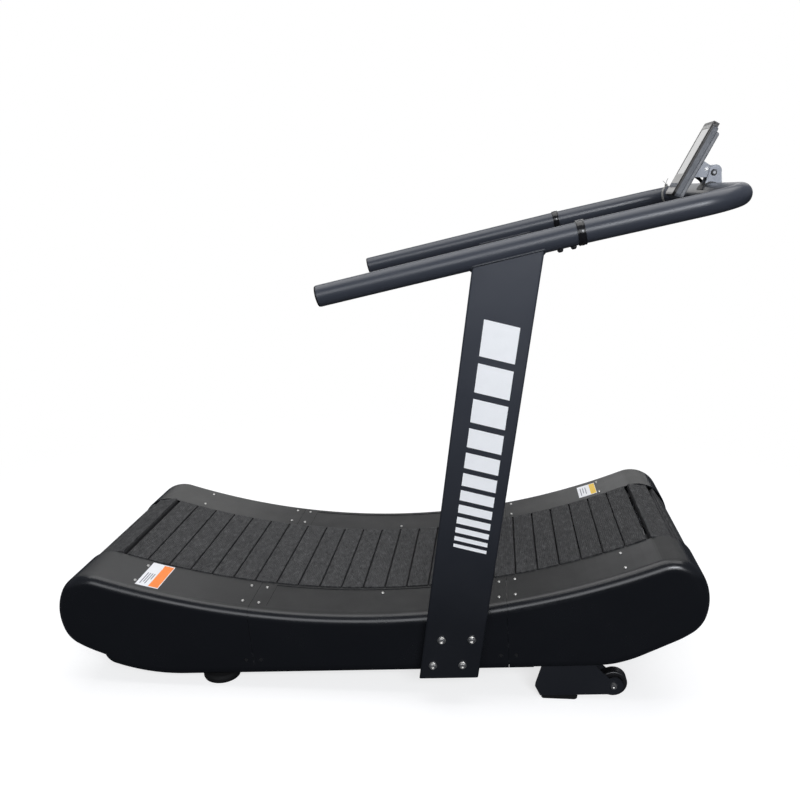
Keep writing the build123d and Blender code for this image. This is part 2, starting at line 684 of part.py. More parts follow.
def base_rail(side):
    with BuildPart() as rail:
        with BuildSketch(base_rail_plane(BASE_RAIL_X0, side)):
            RectangleRounded(BASE_RAIL_SIZE, BASE_RAIL_SIZE, 6)
            bore = BASE_RAIL_SIZE - 2 * BASE_RAIL_WALL
            RectangleRounded(bore, bore, 3, mode=Mode.SUBTRACT)
        extrude(amount=BASE_RAIL_X1 - BASE_RAIL_X0)
        # end caps
        for x in (BASE_RAIL_X0, BASE_RAIL_X1 - BASE_RAIL_CAP_T):
            with BuildSketch(base_rail_plane(x, side)):
                RectangleRounded(58, 58, 5)
            extrude(amount=BASE_RAIL_CAP_T)
        # plate on the rail's outer face that the upright bolts to
        with BuildSketch(slab(side, BASE_RAIL_OUT, UPRIGHT_PLATE_OUT)):
            with BuildLine():
                Polyline((108, 10), (276, 10), (300, 148), (134, 148), close=True)
            make_face()
        extrude(amount=UPRIGHT_PLATE_T)
        hole_in, hole_out = BASE_RAIL_OUT - 6, UPRIGHT_PLATE_OUT + 1
        with BuildSketch(slab(side, hole_in, hole_out)):
            with Locations(*UPRIGHT_BOLTS):
                Circle(6.0)
        extrude(amount=hole_out - hole_in, mode=Mode.SUBTRACT)
        # hole for the levelling foot's stud, square to the floor
        with BuildSketch(level(REAR_FOOT_X, side * REAR_FOOT_Y, 20)):
            Circle(6.06)
        extrude(amount=55, mode=Mode.SUBTRACT)
    return rail.part


save_pair(base_rail, "base_rail")

# L cleats under the flange: against the side plate, tapped for cover screws
CLEAT_T = 3
CLEAT_DROP = 23            # height of the leg on the side plate
CLEATS = [                 # x, length along the deck, reach outwards
    (-CLEAT_END_X, 34, 118.0), (-CLEAT_X, 84, 118.0), (0.0, 30, 28.0),
    (CLEAT_X, 84, 118.0), (CLEAT_END_X, 34, 118.0),
]
with BuildPart() as cover_cleats:
    for side in (-1, 1):
        for cleat_x, length, reach in CLEATS:
            # longer cleats sit lower, clear of the flange's curve
            depth = 4.9 + 0.25 * (length / 84.0) ** 2
            top = flange_plane(cleat_x, side * PLATE_OUT).offset(-depth)
            # section plane along the deck: local x outward, local y up
            with BuildSketch(Plane(origin=top.origin, x_dir=(0, side, 0), z_dir=top.x_dir * side)):
                with BuildLine():
                    Polyline((0, 0), (reach, 0), (reach, -CLEAT_T), (CLEAT_T, -CLEAT_T),
                             (CLEAT_T, -CLEAT_DROP), (0, -CLEAT_DROP), close=True)
                make_face()
            extrude(amount=length / 2, both=True)
            for screw_x, screw_y in FLANGE_SCREWS:
                if abs(screw_x - cleat_x) < length / 2:
                    with BuildSketch(flange_plane(screw_x, side * screw_y)):
                        Circle(2.4)
                    extrude(amount=-16, mode=Mode.SUBTRACT)
save(cover_cleats.part, "cover_cleats")

# belt tensioners: adjusting bolts that push the rear bearing housings back
with BuildPart() as belt_tensioners:
    for side in (-1, 1):
        # cross-section plane facing forward at the rear pulley's centre
        rear_axle = across(to_row(-PULLEY_X, side * (PLATE_OUT + 9), PULLEY_Z), row_dir(1, 0))
        with BuildSketch(rear_axle.offset(44.2)):
            Circle(5.0)
        extrude(amount=74)
        with BuildSketch(rear_axle.offset(84)):
            Rectangle(17.6, 26)
        extrude(amount=10)
        with BuildSketch(rear_axle.offset(110)):
            RegularPolygon(8.5, 6)
        extrude(amount=8.5)
save(belt_tensioners.part, "belt_tensioners")

SENSOR_X, SENSOR_Z = PULLEY_X - 20, PULLEY_Z - 48
SENSOR_Y = PLATE_IN - 0.1  # just inside the left side plate
SENSOR_T = 14
with BuildPart() as speed_sensor:
    with BuildSketch(deck(SENSOR_Y, SENSOR_X, SENSOR_Z)):
        RectangleRounded(34, 22, 3)
    extrude(amount=SENSOR_T)
    with BuildSketch(deck(SENSOR_Y - SENSOR_T, SENSOR_X, SENSOR_Z)):
        Circle(6)
    extrude(amount=10)
save(speed_sensor.part, "speed_sensor")

# ----------------------------------------------------- handrail line, uprights
HANDRAIL_DIR = row_dir(cos(HANDRAIL_SLOPE), sin(HANDRAIL_SLOPE))
HANDRAIL_DOWN = row_dir(sin(HANDRAIL_SLOPE), -cos(HANDRAIL_SLOPE))


def handrail_z(x):
    """Height of the handrail's axis, deck frame."""
    return 1048.0 + tan(HANDRAIL_SLOPE) * x


def handrail_section(side, x):
    """Cross-section plane of a handrail at station x, facing forward."""
    return across(to_row(x, side * UPRIGHT_Y, handrail_z(x)), HANDRAIL_DIR)


def handrail_below(side, x):
    """Plane through the handrail's axis at station x, facing down."""
    return across(to_row(x, side * UPRIGHT_Y, handrail_z(x)), HANDRAIL_DOWN)


UPRIGHT_BOLT_HOLE_R = 6.2


def upright(side):
    y = side * UPRIGHT_Y
    width = UPRIGHT_W * cos(UPRIGHT_LEAN)
    section = Plane(origin=to_row(UPRIGHT_X + UPRIGHT_W / 2, y, 0),
                    x_dir=row_dir(cos(UPRIGHT_LEAN), -sin(UPRIGHT_LEAN)),
                    z_dir=row_dir(sin(UPRIGHT_LEAN), cos(UPRIGHT_LEAN)))
    # starting plane and length of cuts right through the upright sideways
    cut_plane, cut = deck(y + 30), 60
    with BuildPart() as post:
        with BuildSketch(section.offset(-60)):
            RectangleRounded(width, UPRIGHT_T, 5.5)
        extrude(amount=1300)
        with BuildSketch(section.offset(14)):
            RectangleRounded(width - 2 * UPRIGHT_WALL, UPRIGHT_T - 2 * UPRIGHT_WALL, 3)
        extrude(amount=1300, mode=Mode.SUBTRACT)
        # foot end cut level with the deck
        with BuildSketch(cut_plane):
            with Locations((190, -60)):
                Rectangle(400, 120)
        extrude(amount=cut, mode=Mode.SUBTRACT)
        # head end saddled to the handrail tube
        with BuildSketch(cut_plane):
            with BuildLine():
                Polyline((0, handrail_z(0)), (800, handrail_z(800)), (800, 1700), (0, 1700),
                         close=True)
            make_face()
        extrude(amount=cut, mode=Mode.SUBTRACT)
        with BuildSketch(handrail_section(side, 0)):
            Circle(HANDRAIL_R + 0.05)
        extrude(amount=900, mode=Mode.SUBTRACT)
        with BuildSketch(cut_plane):
            with Locations(*UPRIGHT_BOLTS):
                Circle(UPRIGHT_BOLT_HOLE_R)
        extrude(amount=cut, mode=Mode.SUBTRACT)
    return post.part


save_pair(upright, "upright")

SPACER_GAP = 0.02
SPACER_IN = UPRIGHT_PLATE_OUT + SPACER_GAP
SPACER_OUT = UPRIGHT_Y - UPRIGHT_T / 2 - SPACER_GAP
with BuildPart() as upright_spacers:
    for side in (1, -1):
        with BuildSketch(slab(side, SPACER_IN, SPACER_OUT)):
            with Locations(*UPRIGHT_BOLTS):
                Circle(11.0)
                Circle(UPRIGHT_BOLT_HOLE_R, mode=Mode.SUBTRACT)
        extrude(amount=SPACER_OUT - SPACER_IN)
save(upright_spacers.part, "upright_spacers")

UPRIGHT_WASHER_T = 2.2
UPRIGHT_HEAD_T = 4.6       # lower part of the domed head
UPRIGHT_DOME_T = 2.4
with BuildPart() as upright_bolts:
    for side in (-1, 1):
        outward = -side    # deck planes face -Y
        for bolt_x, bolt_z in UPRIGHT_BOLTS:
            seat = deck(side * (UPRIGHT_Y + UPRIGHT_T / 2 + 0.02), bolt_x, bolt_z)
            head = seat.offset(UPRIGHT_WASHER_T * outward)
            dome = head.offset(UPRIGHT_HEAD_T * outward)
            with BuildSketch(seat):
                Circle(11.0)
            extrude(amount=UPRIGHT_WASHER_T * outward)
            with BuildSketch(head):
                Circle(9.4)
            extrude(amount=UPRIGHT_HEAD_T * outward, taper=4)
            with BuildSketch(dome):
                Circle(9.08)
            extrude(amount=UPRIGHT_DOME_T * outward, taper=40)
            # hexagon socket
            with BuildSketch(dome.offset(UPRIGHT_DOME_T * outward)):
                RegularPolygon(5.0, 6)
            extrude(amount=-4.5 * outward, mode=Mode.SUBTRACT)
            with BuildSketch(seat):
                Circle(5.9)
            extrude(amount=-58 * outward)
save(upright_bolts.part, "upright_bolts")

# ---------------------------------------------------------------- handrails
HANDRAIL_BOLT_X = (501.5, 532.0)


def bolted_tube(side, x0, x1, radius, wall, hole_r):
    """Round tube between two handrail stations, with bolt holes underneath."""
    with BuildPart() as tube:
        with BuildSketch(handrail_section(side, x0)):
            Circle(radius)
            Circle(radius - wall, mode=Mode.SUBTRACT)
        extrude(amount=(x1 - x0) / cos(HANDRAIL_SLOPE))
        for x in HANDRAIL_BOLT_X:
            with BuildSketch(handrail_below(side, x)):
                Circle(hole_r)
            extrude(amount=30, mode=Mode.SUBTRACT)
    return tube.part


def handrail(side):
    return bolted_tube(side, HANDRAIL_X0, HANDRAIL_JOINT_X, HANDRAIL_R, HANDRAIL_WALL, 4.2)


save_pair(handrail, "handrail")

with BuildPart() as joint_sleeves:
    for side in (-1, 1):
        add(bolted_tube(side, 468, 590, radius=22.0, wall=3.0, hole_r=4.05))
save(joint_sleeves.part, "joint_sleeves")

COLLAR_X = 544.5
with BuildPart() as joint_collars:
    for side in (-1, 1):
        # crowned ring with a bead at each rim: local x is the radius, y along the rail
        section = handrail_below(side, COLLAR_X)
        with BuildSketch(section):
            with BuildLine():
                Polyline((26.0, 0), (27.6, 0), (28.4, 0.8), (28.4, 2.6), (27.7, 3.4))
                ThreePointArc((27.7, 3.4), (28.6, 9.0), (27.7, 14.6))
                Polyline((27.7, 14.6), (28.4, 15.4), (28.4, 17.2), (27.6, 18.0), (26.0, 18.0),
                         (26.0, 0))
            make_face()
        revolve(axis=Axis(section.origin, HANDRAIL_DIR), revolution_arc=360)
save(joint_collars.part, "joint_collars")

with BuildPart() as handrail_end_plugs:
    for side in (-1, 1):
        rail_end = handrail_section(side, HANDRAIL_X0)
        with BuildSketch(rail_end.offset(-0.1)):
            Circle(22.7)
        extrude(amount=22.1)
        with BuildSketch(rail_end.offset(-0.05)):
            Circle(HANDRAIL_R)
        extrude(amount=-4, taper=14)
save(handrail_end_plugs.part, "handrail_end_plugs")

HANDRAIL_HEAD_T = 3.2      # each of the head's two steps
with BuildPart() as handrail_bolts:
    for side in (-1, 1):
        for bolt_x in HANDRAIL_BOLT_X:
            seat = handrail_below(side, bolt_x).offset(HANDRAIL_R + 0.03)
            with BuildSketch(seat):
                Circle(7.2)
            extrude(amount=HANDRAIL_HEAD_T, taper=8)
            with BuildSketch(seat.offset(HANDRAIL_HEAD_T)):
                Circle(6.75)
            extrude(amount=HANDRAIL_HEAD_T, taper=38)
            # hexagon socket
            with BuildSketch(seat.offset(2 * HANDRAIL_HEAD_T)):
                RegularPolygon(2.6, 6)
            extrude(amount=-2.8, mode=Mode.SUBTRACT)
            with BuildSketch(seat):
                Circle(3.98)
            extrude(amount=-10)
save(handrail_bolts.part, "handrail_bolts")

# front U-bar: carries on from both handrails and crosses over in front
U_BAR_Z0 = handrail_z(HANDRAIL_JOINT_X)
U_BAR_LEN = (U_BAR_CROSS_X - HANDRAIL_JOINT_X) / cos(U_BAR_SLOPE)
U_BAR_START = 0.4          # gap to the handrail's end
U_BAR_CROSS_Z = U_BAR_Z0 + U_BAR_LEN * sin(U_BAR_SLOPE)
U_BAR_DIR = row_dir(cos(U_BAR_SLOPE), sin(U_BAR_SLOPE))
U_BAR_UP = row_dir(-sin(U_BAR_SLOPE), cos(U_BAR_SLOPE))
CABLE_Y = 34


def u_bar_point(along, y, up=0.0):
    """Row-frame point: along the U-bar's plane, y across, up square to it."""
    return to_row(HANDRAIL_JOINT_X + along * cos(U_BAR_SLOPE) - up * sin(U_BAR_SLOPE), y,
                  U_BAR_Z0 + along * sin(U_BAR_SLOPE) + up * cos(U_BAR_SLOPE))


with BuildPart() as front_u_bar:
    with BuildLine(Plane(origin=u_bar_point(0, 0), x_dir=U_BAR_DIR, z_dir=U_BAR_UP)) as u_path:
        FilletPolyline((U_BAR_START, -UPRIGHT_Y), (U_BAR_LEN, -UPRIGHT_Y),
                       (U_BAR_LEN, UPRIGHT_Y), (U_BAR_START, UPRIGHT_Y), radius=U_BAR_BEND_R)
    with BuildSketch(across(u_bar_point(U_BAR_START, -UPRIGHT_Y), U_BAR_DIR)):
        Circle(HANDRAIL_R)
        Circle(HANDRAIL_R - HANDRAIL_WALL, mode=Mode.SUBTRACT)
    sweep(path=u_path.wires()[0])
    # cable outlet on top of the cross tube
    with BuildSketch(across(u_bar_point(U_BAR_LEN - 4, CABLE_Y, 10), U_BAR_UP)):
        Circle(6.5)
    extrude(amount=30, mode=Mode.SUBTRACT)
save(front_u_bar.part, "front_u_bar")

# ---------------------------------------------------------- console bracket
EAR_IN, EAR_T = 18.0, 4.0
EAR_OUT = EAR_IN + EAR_T
SADDLE_OUT_R = HANDRAIL_R + 2.8
SADDLE_IN_R = HANDRAIL_R - 2
SADDLE_HALF = EAR_OUT + 6
PIVOT_HOLE_R = 4.06


def from_cross(x, z):
    """Deck-frame (x, z) of a point given from the cross tube's centre."""
    return (U_BAR_CROSS_X + x, U_BAR_CROSS_Z + z)


with BuildPart() as console_bracket:
    for side in (1, -1):
        with BuildSketch(slab(side, EAR_IN, EAR_OUT)):
            with BuildLine():
                Polyline(from_cross(-19, 13), (PIVOT_X - 12, PIVOT_Z + 2),
                         (PIVOT_X + 19.5, PIVOT_Z + 6), from_cross(29, 10), close=True)
            make_face()
            with Locations((PIVOT_X + 4, PIVOT_Z + 3)):
                Circle(16.4)
        extrude(amount=EAR_T)
    # web joining both ears, ahead of and below the pivot
    with BuildSketch(deck(EAR_IN + 0.5)):
        with BuildLine():
            Polyline(from_cross(21, 14), from_cross(25.5, 14), from_cross(23, 34),
                     from_cross(18.5, 34), close=True)
        make_face()
    extrude(amount=2 * EAR_IN + 1)
    # curved saddle on the cross tube, a little wider than the ears
    with BuildSketch(deck(SADDLE_HALF, U_BAR_CROSS_X, U_BAR_CROSS_Z)):
        with BuildLine():
            cos_end, sin_end = cos(radians(20)), sin(radians(20))
            outer_x, outer_z = SADDLE_OUT_R * cos_end, SADDLE_OUT_R * sin_end
            inner_x, inner_z = SADDLE_IN_R * cos_end, SADDLE_IN_R * sin_end
            ThreePointArc((-outer_x, outer_z), (0, SADDLE_OUT_R), (outer_x, outer_z))
            Line((outer_x, outer_z), (inner_x, inner_z))
            ThreePointArc((inner_x, inner_z), (0, SADDLE_IN_R), (-inner_x, inner_z))
            Line((-inner_x, inner_z), (-outer_x, outer_z))
        make_face()
    extrude(amount=2 * SADDLE_HALF)
    # clearance for the tube, then the pivot hole
    with BuildSketch(deck(SADDLE_HALF + 1)):
        with Locations(from_cross(0, 0)):
            Circle(HANDRAIL_R + 0.03)
    extrude(amount=2 * (SADDLE_HALF + 1), mode=Mode.SUBTRACT)
    with BuildSketch(deck(EAR_OUT + 1)):
        with Locations((PIVOT_X, PIVOT_Z)):
            Circle(PIVOT_HOLE_R)
    extrude(amount=2 * (EAR_OUT + 1), mode=Mode.SUBTRACT)
save(console_bracket.part, "console_bracket")

with BuildPart() as console_pivot_bolt:
    # shank
    with BuildSketch(deck(EAR_OUT + 5, PIVOT_X, PIVOT_Z)):
        Circle(4.0)
    extrude(amount=2 * (EAR_OUT + 5))
    # washer and head on the right, nut on the left
    with BuildSketch(deck(-EAR_OUT - 0.05, PIVOT_X, PIVOT_Z)):
        Circle(8.2)
    extrude(amount=1.4)
    with BuildSketch(deck(-EAR_OUT - 1.45, PIVOT_X, PIVOT_Z)):
        Circle(6.8)
    extrude(amount=4.4, taper=16)
    with BuildSketch(deck(EAR_OUT + 6.6, PIVOT_X, PIVOT_Z)):
        RegularPolygon(7.4, 6)
    extrude(amount=6.5)
save(console_pivot_bolt.part, "console_pivot_bolt")

# ------------------------------------------------------------------ console
CONSOLE_LEAN = radians(29.95)          # from the deck's normal
CONSOLE_W = 100.0
CONSOLE_H = 203.0
CONSOLE_MIDDLE = CONSOLE_H / 2
FACE_X, FACE_Z = 825.9, 1214.8         # lower edge of the front face, deck frame
BEZEL_T = 7.0
WINDOW_UP = 121            # middle of the display window, up the face
BUTTON_UP = 27.0
BUTTON_PITCH = 22
BUTTON_COUNT = 4
BUTTON_BACK = -BEZEL_T - 1.7


def face_xz(up, out):
    """Deck-frame (x, z) of a console point: up the face, out of it to the user."""
    return (FACE_X + up * sin(CONSOLE_LEAN) - out * cos(CONSOLE_LEAN),
            FACE_Z + up * cos(CONSOLE_LEAN) + out * sin(CONSOLE_LEAN))


FACE_NORMAL = row_dir(-cos(CONSOLE_LEAN), sin(CONSOLE_LEAN))
FACE_AXIS = Axis(to_row(FACE_X, 0, FACE_Z), FACE_NORMAL)


def face_plane(up, out, y=0.0):
    """Plane parallel to the face; local x towards -Y, local y up the face."""
    x, z = face_xz(up, out)
    return Plane(origin=to_row(x, y, z), x_dir=(0, -1, 0), z_dir=FACE_NORMAL)


with BuildPart() as console_housing:
    # deep shell behind the bezel
    with BuildSketch(face_plane(CONSOLE_MIDDLE - 5, -BEZEL_T - 0.1)):
        RectangleRounded(CONSOLE_W, CONSOLE_H - 10, 11)
    extrude(amount=-14.1)
    fillet(console_housing.faces().sort_by(FACE_AXIS)[0].edges(), 2.0)
    with BuildSketch(face_plane(CONSOLE_MIDDLE - 5, -BEZEL_T)):
        RectangleRounded(CONSOLE_W - 6, CONSOLE_H - 16, 8)
    extrude(amount=-11.1, mode=Mode.SUBTRACT)
    # posts that carry the button board
    with BuildSketch(face_plane(30, -18.6)):
        with GridLocations(84, 20, 2, 1):
            Circle(4)
    extrude(amount=7.8)
save(console_housing.part, "console_housing")

with BuildPart() as console_bezel:
    # surround, with a cap turned back over the housing at its upper end
    with BuildSketch(face_plane(CONSOLE_MIDDLE, -BEZEL_T)):
        RectangleRounded(CONSOLE_W, CONSOLE_H, 11)
    extrude(amount=BEZEL_T)
    with BuildSketch(face_plane(CONSOLE_H - 4.9, -18.4)):
        Rectangle(CONSOLE_W - 16, 9.6)
    extrude(amount=12.0)
    chamfer(console_bezel.faces().sort_by(FACE_AXIS)[-1].edges(), 2.6)
    # window and button openings
    with BuildSketch(face_plane(WINDOW_UP, -BEZEL_T - 1)):
        RectangleRounded(82, 124, 5)
    extrude(amount=BEZEL_T + 2, mode=Mode.SUBTRACT)
    with BuildSketch(face_plane(BUTTON_UP, -BEZEL_T - 1)):
        with GridLocations(BUTTON_PITCH, 10, BUTTON_COUNT, 1):
            RectangleRounded(16.4, 12.4, 3.2)
    extrude(amount=BEZEL_T + 2, mode=Mode.SUBTRACT)
save(console_bezel.part, "console_bezel")

with BuildPart() as console_lens:
    with BuildSketch(face_plane(WINDOW_UP, -BEZEL_T - 0.2)):
        RectangleRounded(81.8, 123.8, 4.9)
    extrude(amount=BEZEL_T - 0.5)
    # flange behind the bezel
    with BuildSketch(face_plane(WINDOW_UP, -BEZEL_T - 2.0)):
        RectangleRounded(88, 130, 5)
    extrude(amount=1.9)
save(console_lens.part, "console_lens")


def console_button(y):
    back = face_plane(BUTTON_UP, BUTTON_BACK, y)
    with BuildPart() as button:
        with BuildSketch(back):
            RectangleRounded(16.0, 12.0, 3.0)
        extrude(amount=BEZEL_T + 3.0)
        fillet(button.faces().sort_by(FACE_AXIS)[-1].edges(), 0.9)
        # flange behind the bezel
        with BuildSketch(back):
            RectangleRounded(18.6, 14.6, 3.0)
        extrude(amount=1.6)
    return button.part


# numbered from the user's left
for i in range(BUTTON_COUNT):
    button_y = ((BUTTON_COUNT - 1) / 2 - i) * BUTTON_PITCH
    save(console_button(button_y), "console_button_%d" % (i + 1))

with BuildPart() as console_back_cover:
    with BuildSketch(face_plane(CONSOLE_MIDDLE - 8, -21.3)):
        RectangleRounded(CONSOLE_W - 8, CONSOLE_H - 22, 9)
    extrude(amount=-9.5)
    chamfer(console_back_cover.faces().sort_by(FACE_AXIS)[0].edges(), 2.2)
    # finger notches in both long sides
    for notch_up in (52.0, 132.0):
        for side in (-1, 1):
            with BuildSketch(face_plane(notch_up, -31, side * (CONSOLE_W / 2 - 4))):
                Rectangle(5.0, 9.0)
            extrude(amount=4.5, mode=Mode.SUBTRACT)
save(console_back_cover.part, "console_back_cover")

TAB_OUT, TAB_T = 17.7, 3.0
TAB_R = 11.5               # rounded end at the pivot
with BuildPart() as console_mount_plate:
    with BuildSketch(face_plane(98, -30.9)):
        RectangleRounded(62, 92, 5)
    extrude(amount=-3.0)
    # two tabs from the plate to the pivot
    for side in (1, -1):
        with BuildSketch(slab(side, TAB_OUT - TAB_T, TAB_OUT)):
            with BuildLine():
                Polyline(face_xz(66, -33), face_xz(112, -33), (PIVOT_X + 2, PIVOT_Z + TAB_R),
                         (PIVOT_X + 2, PIVOT_Z - TAB_R), (PIVOT_X - 14, PIVOT_Z - TAB_R),
                         close=True)
            make_face()
            with Locations((PIVOT_X, PIVOT_Z)):
                Circle(TAB_R)
        extrude(amount=TAB_T)
    # rivet head on the outside of the right tab
    with BuildSketch(deck(-TAB_OUT, PIVOT_X - 18.6, PIVOT_Z + 9.4)):
        Circle(4.4)
    extrude(amount=2.4, taper=28)
    with BuildSketch(deck(TAB_OUT + 1, PIVOT_X, PIVOT_Z)):
        Circle(PIVOT_HOLE_R)
    extrude(amount=2 * TAB_OUT + 2, mode=Mode.SUBTRACT)
save(console_mount_plate.part, "console_mount_plate")

# cable: up out of the cross tube, bending rearward
with BuildPart() as console_cable:
    cable_start = u_bar_point(U_BAR_LEN - 4, CABLE_Y, 4)
    with BuildLine() as cable_path:
        Spline(cable_start, u_bar_point(U_BAR_LEN - 6, CABLE_Y, 34),
               u_bar_point(U_BAR_LEN - 14, CABLE_Y - 1, 52),
               tangents=(U_BAR_UP, row_dir(-0.8, 0.6)))
    with BuildSketch(across(cable_start, U_BAR_UP)):
        Circle(4.4)
    sweep(path=cable_path.wires()[0])
save(console_cable.part, "console_cable")

TIE_W = 6
TIE_ANGLE = radians(45)    # place round the U-bar's left bend
with BuildPart() as cable_tie:
    along_bar, leftward = Vector(*U_BAR_DIR), Vector(0, 1, 0)
    tie_plane = Plane(
        origin=u_bar_point(U_BAR_LEN - U_BAR_BEND_R + U_BAR_BEND_R * sin(TIE_ANGLE),
                           UPRIGHT_Y - U_BAR_BEND_R + U_BAR_BEND_R * cos(TIE_ANGLE)),
        x_dir=along_bar * sin(TIE_ANGLE) + leftward * cos(TIE_ANGLE),
        z_dir=along_bar * cos(TIE_ANGLE) - leftward * sin(TIE_ANGLE))
    with BuildSketch(tie_plane.offset(-TIE_W / 2)):
        Circle(HANDRAIL_R + 2.4)
        Circle(HANDRAIL_R + 0.75, mode=Mode.SUBTRACT)
        with Locations((0, HANDRAIL_R + 4.6)):
            Rectangle(7, 6)
    extrude(amount=TIE_W)
save(cable_tie.part, "cable_tie")

# -------------------------------------------------- front feet and wheels
BRACKET_IN, BRACKET_OUT = 317.0, 371.0
CHEEK_T = 4.0
CHEEK_SHIFT = 18.0         # inner cheek's rear edge starts further forward
PAD_IN, PAD_OUT = 313.0, 375.0
WHEEL_R = 39.0
WHEEL_X, WHEEL_Z = 646.0, -72.5
WHEEL_Y = (BRACKET_IN + BRACKET_OUT) / 2
WHEEL_HALF = 16            # half the wheel's width

with BuildPart() as front_foot_brackets:
    for side in (-1, 1):
        # outer and inner cheeks
        for cheek_in, shift in ((BRACKET_OUT - CHEEK_T, 0.0), (BRACKET_IN, CHEEK_SHIFT)):
            with BuildSketch(slab(side, cheek_in, cheek_in + CHEEK_T)):
                with BuildLine():
                    Polyline((449 + shift, 1.9), (600, 1.9), (598, -12), (634, -49),
                             (WHEEL_X, WHEEL_Z), (638, -98.5), (560, -98.5),
                             (441 + shift, -98.5), (427.5 + shift, -68), (429 + shift, -58),
                             close=True)
                make_face()
                with Locations((WHEEL_X, WHEEL_Z)):
                    Circle(26.5)
                with Locations((WHEEL_X, WHEEL_Z)):
                    Circle(5.05, mode=Mode.SUBTRACT)
            extrude(amount=CHEEK_T)
        # bottom web and top web
        with BuildSketch(slab(side, BRACKET_IN, BRACKET_OUT)):
            with Locations((514, -96.5)):
                Rectangle(142, 4)
            with Locations((524.5, -0.1)):
                Rectangle(145, 4)
        extrude(amount=BRACKET_OUT - BRACKET_IN)
save(front_foot_brackets.part, "front_foot_brackets")

# pads: flat on the floor, bevelled ends, tops following the tilted brackets
with BuildPart() as front_foot_pads:
    rear_x, _, rear_z = to_row(444, 0, -98.55)
    front_x, _, front_z = to_row(545, 0, -98.55)
    for side in (-1, 1):
        pad_y = PAD_OUT if side > 0 else -PAD_IN
        with BuildSketch(Plane(origin=(0, pad_y, 0), x_dir=(1, 0, 0), z_dir=(0, -1, 0))):
            with BuildLine():
                Polyline((rear_x, rear_z), (front_x, front_z), (front_x - 1, 4.0),
                         (front_x - 7, 0.0), (rear_x + 5, 0.0), (rear_x + 0.5, 4.0), close=True)
            make_face()
        extrude(amount=PAD_OUT - PAD_IN)
save(front_foot_pads.part, "front_foot_pads")


def transport_wheel(side):
    y = side * WHEEL_Y
    with BuildPart() as wheel:
        with BuildSketch(deck(y + WHEEL_HALF, WHEEL_X, WHEEL_Z)):
            Circle(WHEEL_R)
        extrude(amount=2 * WHEEL_HALF)
        fillet(wheel.edges().filter_by(GeomType.CIRCLE), 5)
        # ring recess in both faces
        for recess_y in (y + WHEEL_HALF + 1, y - 9):
            with BuildSketch(deck(recess_y, WHEEL_X, WHEEL_Z)):
                Circle(28)
                Circle(12, mode=Mode.SUBTRACT)
            extrude(amount=8, mode=Mode.SUBTRACT)
        # hub and its bore
        with BuildSketch(deck(y + 21.5, WHEEL_X, WHEEL_Z)):
            Circle(11)
        extrude(amount=43)
        with BuildSketch(deck(y + 24, WHEEL_X, WHEEL_Z)):
            Circle(5.06)
        extrude(amount=48, mode=Mode.SUBTRACT)
    return wheel.part


save_pair(transport_wheel, "transport_wheel")

WHEEL_BOLT_HEAD_T = 5.0
with BuildPart() as wheel_bolts:
    for side in (-1, 1):
        outward = -side    # deck planes face -Y
        seat = deck(side * (BRACKET_OUT + 0.05), WHEEL_X, WHEEL_Z)
        with BuildSketch(seat):
            Circle(5.0)
        extrude(amount=-60 * outward)
        with BuildSketch(seat):
            Circle(9.5)
        extrude(amount=WHEEL_BOLT_HEAD_T * outward, taper=14)
        # hexagon socket
        with BuildSketch(seat.offset(WHEEL_BOLT_HEAD_T * outward)):
            RegularPolygon(3.6, 6)
        extrude(amount=-2.5 * outward, mode=Mode.SUBTRACT)
        # nut inside the inner cheek
        with BuildSketch(deck(side * (BRACKET_IN - 0.05), WHEEL_X, WHEEL_Z)):
            RegularPolygon(9.0, 6)
        extrude(amount=-8.0 * outward)
save(wheel_bolts.part, "wheel_bolts")

# --------------------------------------------------------------- rear feet
STUD_Z = 9                 # bottom of the stud's hole in the foot
REAR_FOOT_PROFILE = [      # (radius, height above the floor)
    (0, 0), (44, 0), (50, 4), (52.5, 10), (52.5, 17), (47, 24), (24, 31), (17, 36), (0, 36),
]


def rear_foot(side):
    y = side * REAR_FOOT_Y
    with BuildPart() as foot:
        with BuildSketch(Plane.XZ.offset(-y)):
            with BuildLine():
                Polyline(*[(REAR_FOOT_X + r, z) for r, z in REAR_FOOT_PROFILE], close=True)
            make_face()
        revolve(axis=Axis((REAR_FOOT_X, y, 0), (0, 0, 1)), revolution_arc=360)
        with BuildSketch(level(REAR_FOOT_X, y, STUD_Z)):
            Circle(6.0)
        extrude(amount=30, mode=Mode.SUBTRACT)
    return foot.part


def rear_foot_stud(side):
    y = side * REAR_FOOT_Y
    with BuildPart() as stud:
        with BuildSketch(level(REAR_FOOT_X, y, STUD_Z + 0.02)):
            Circle(5.98)
        extrude(amount=84)
        # nut on top of the foot
        with BuildSketch(level(REAR_FOOT_X, y, 36.05)):
            RegularPolygon(10.5, 6)
        extrude(amount=6)
    return stud.part


save_pair(rear_foot, "rear_foot")
save_pair(rear_foot_stud, "rear_foot_stud")
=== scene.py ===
# Curved slat treadmill with two leaning uprights, sloped handrails and a console.
# Row frame: metres, +X to the front, +Y to the left, +Z up, floor at z = 0.
# Deck frame: millimetres, the same axes pitched about Y so that the front is raised.
# Lengths below are in deck-frame millimetres; materials, rods' radii and lights use metres.
import random
from functools import cached_property
from math import asin, cos, pi, radians, sin, sqrt, tan

import bmesh
import bpy
from mathutils import Matrix, Vector


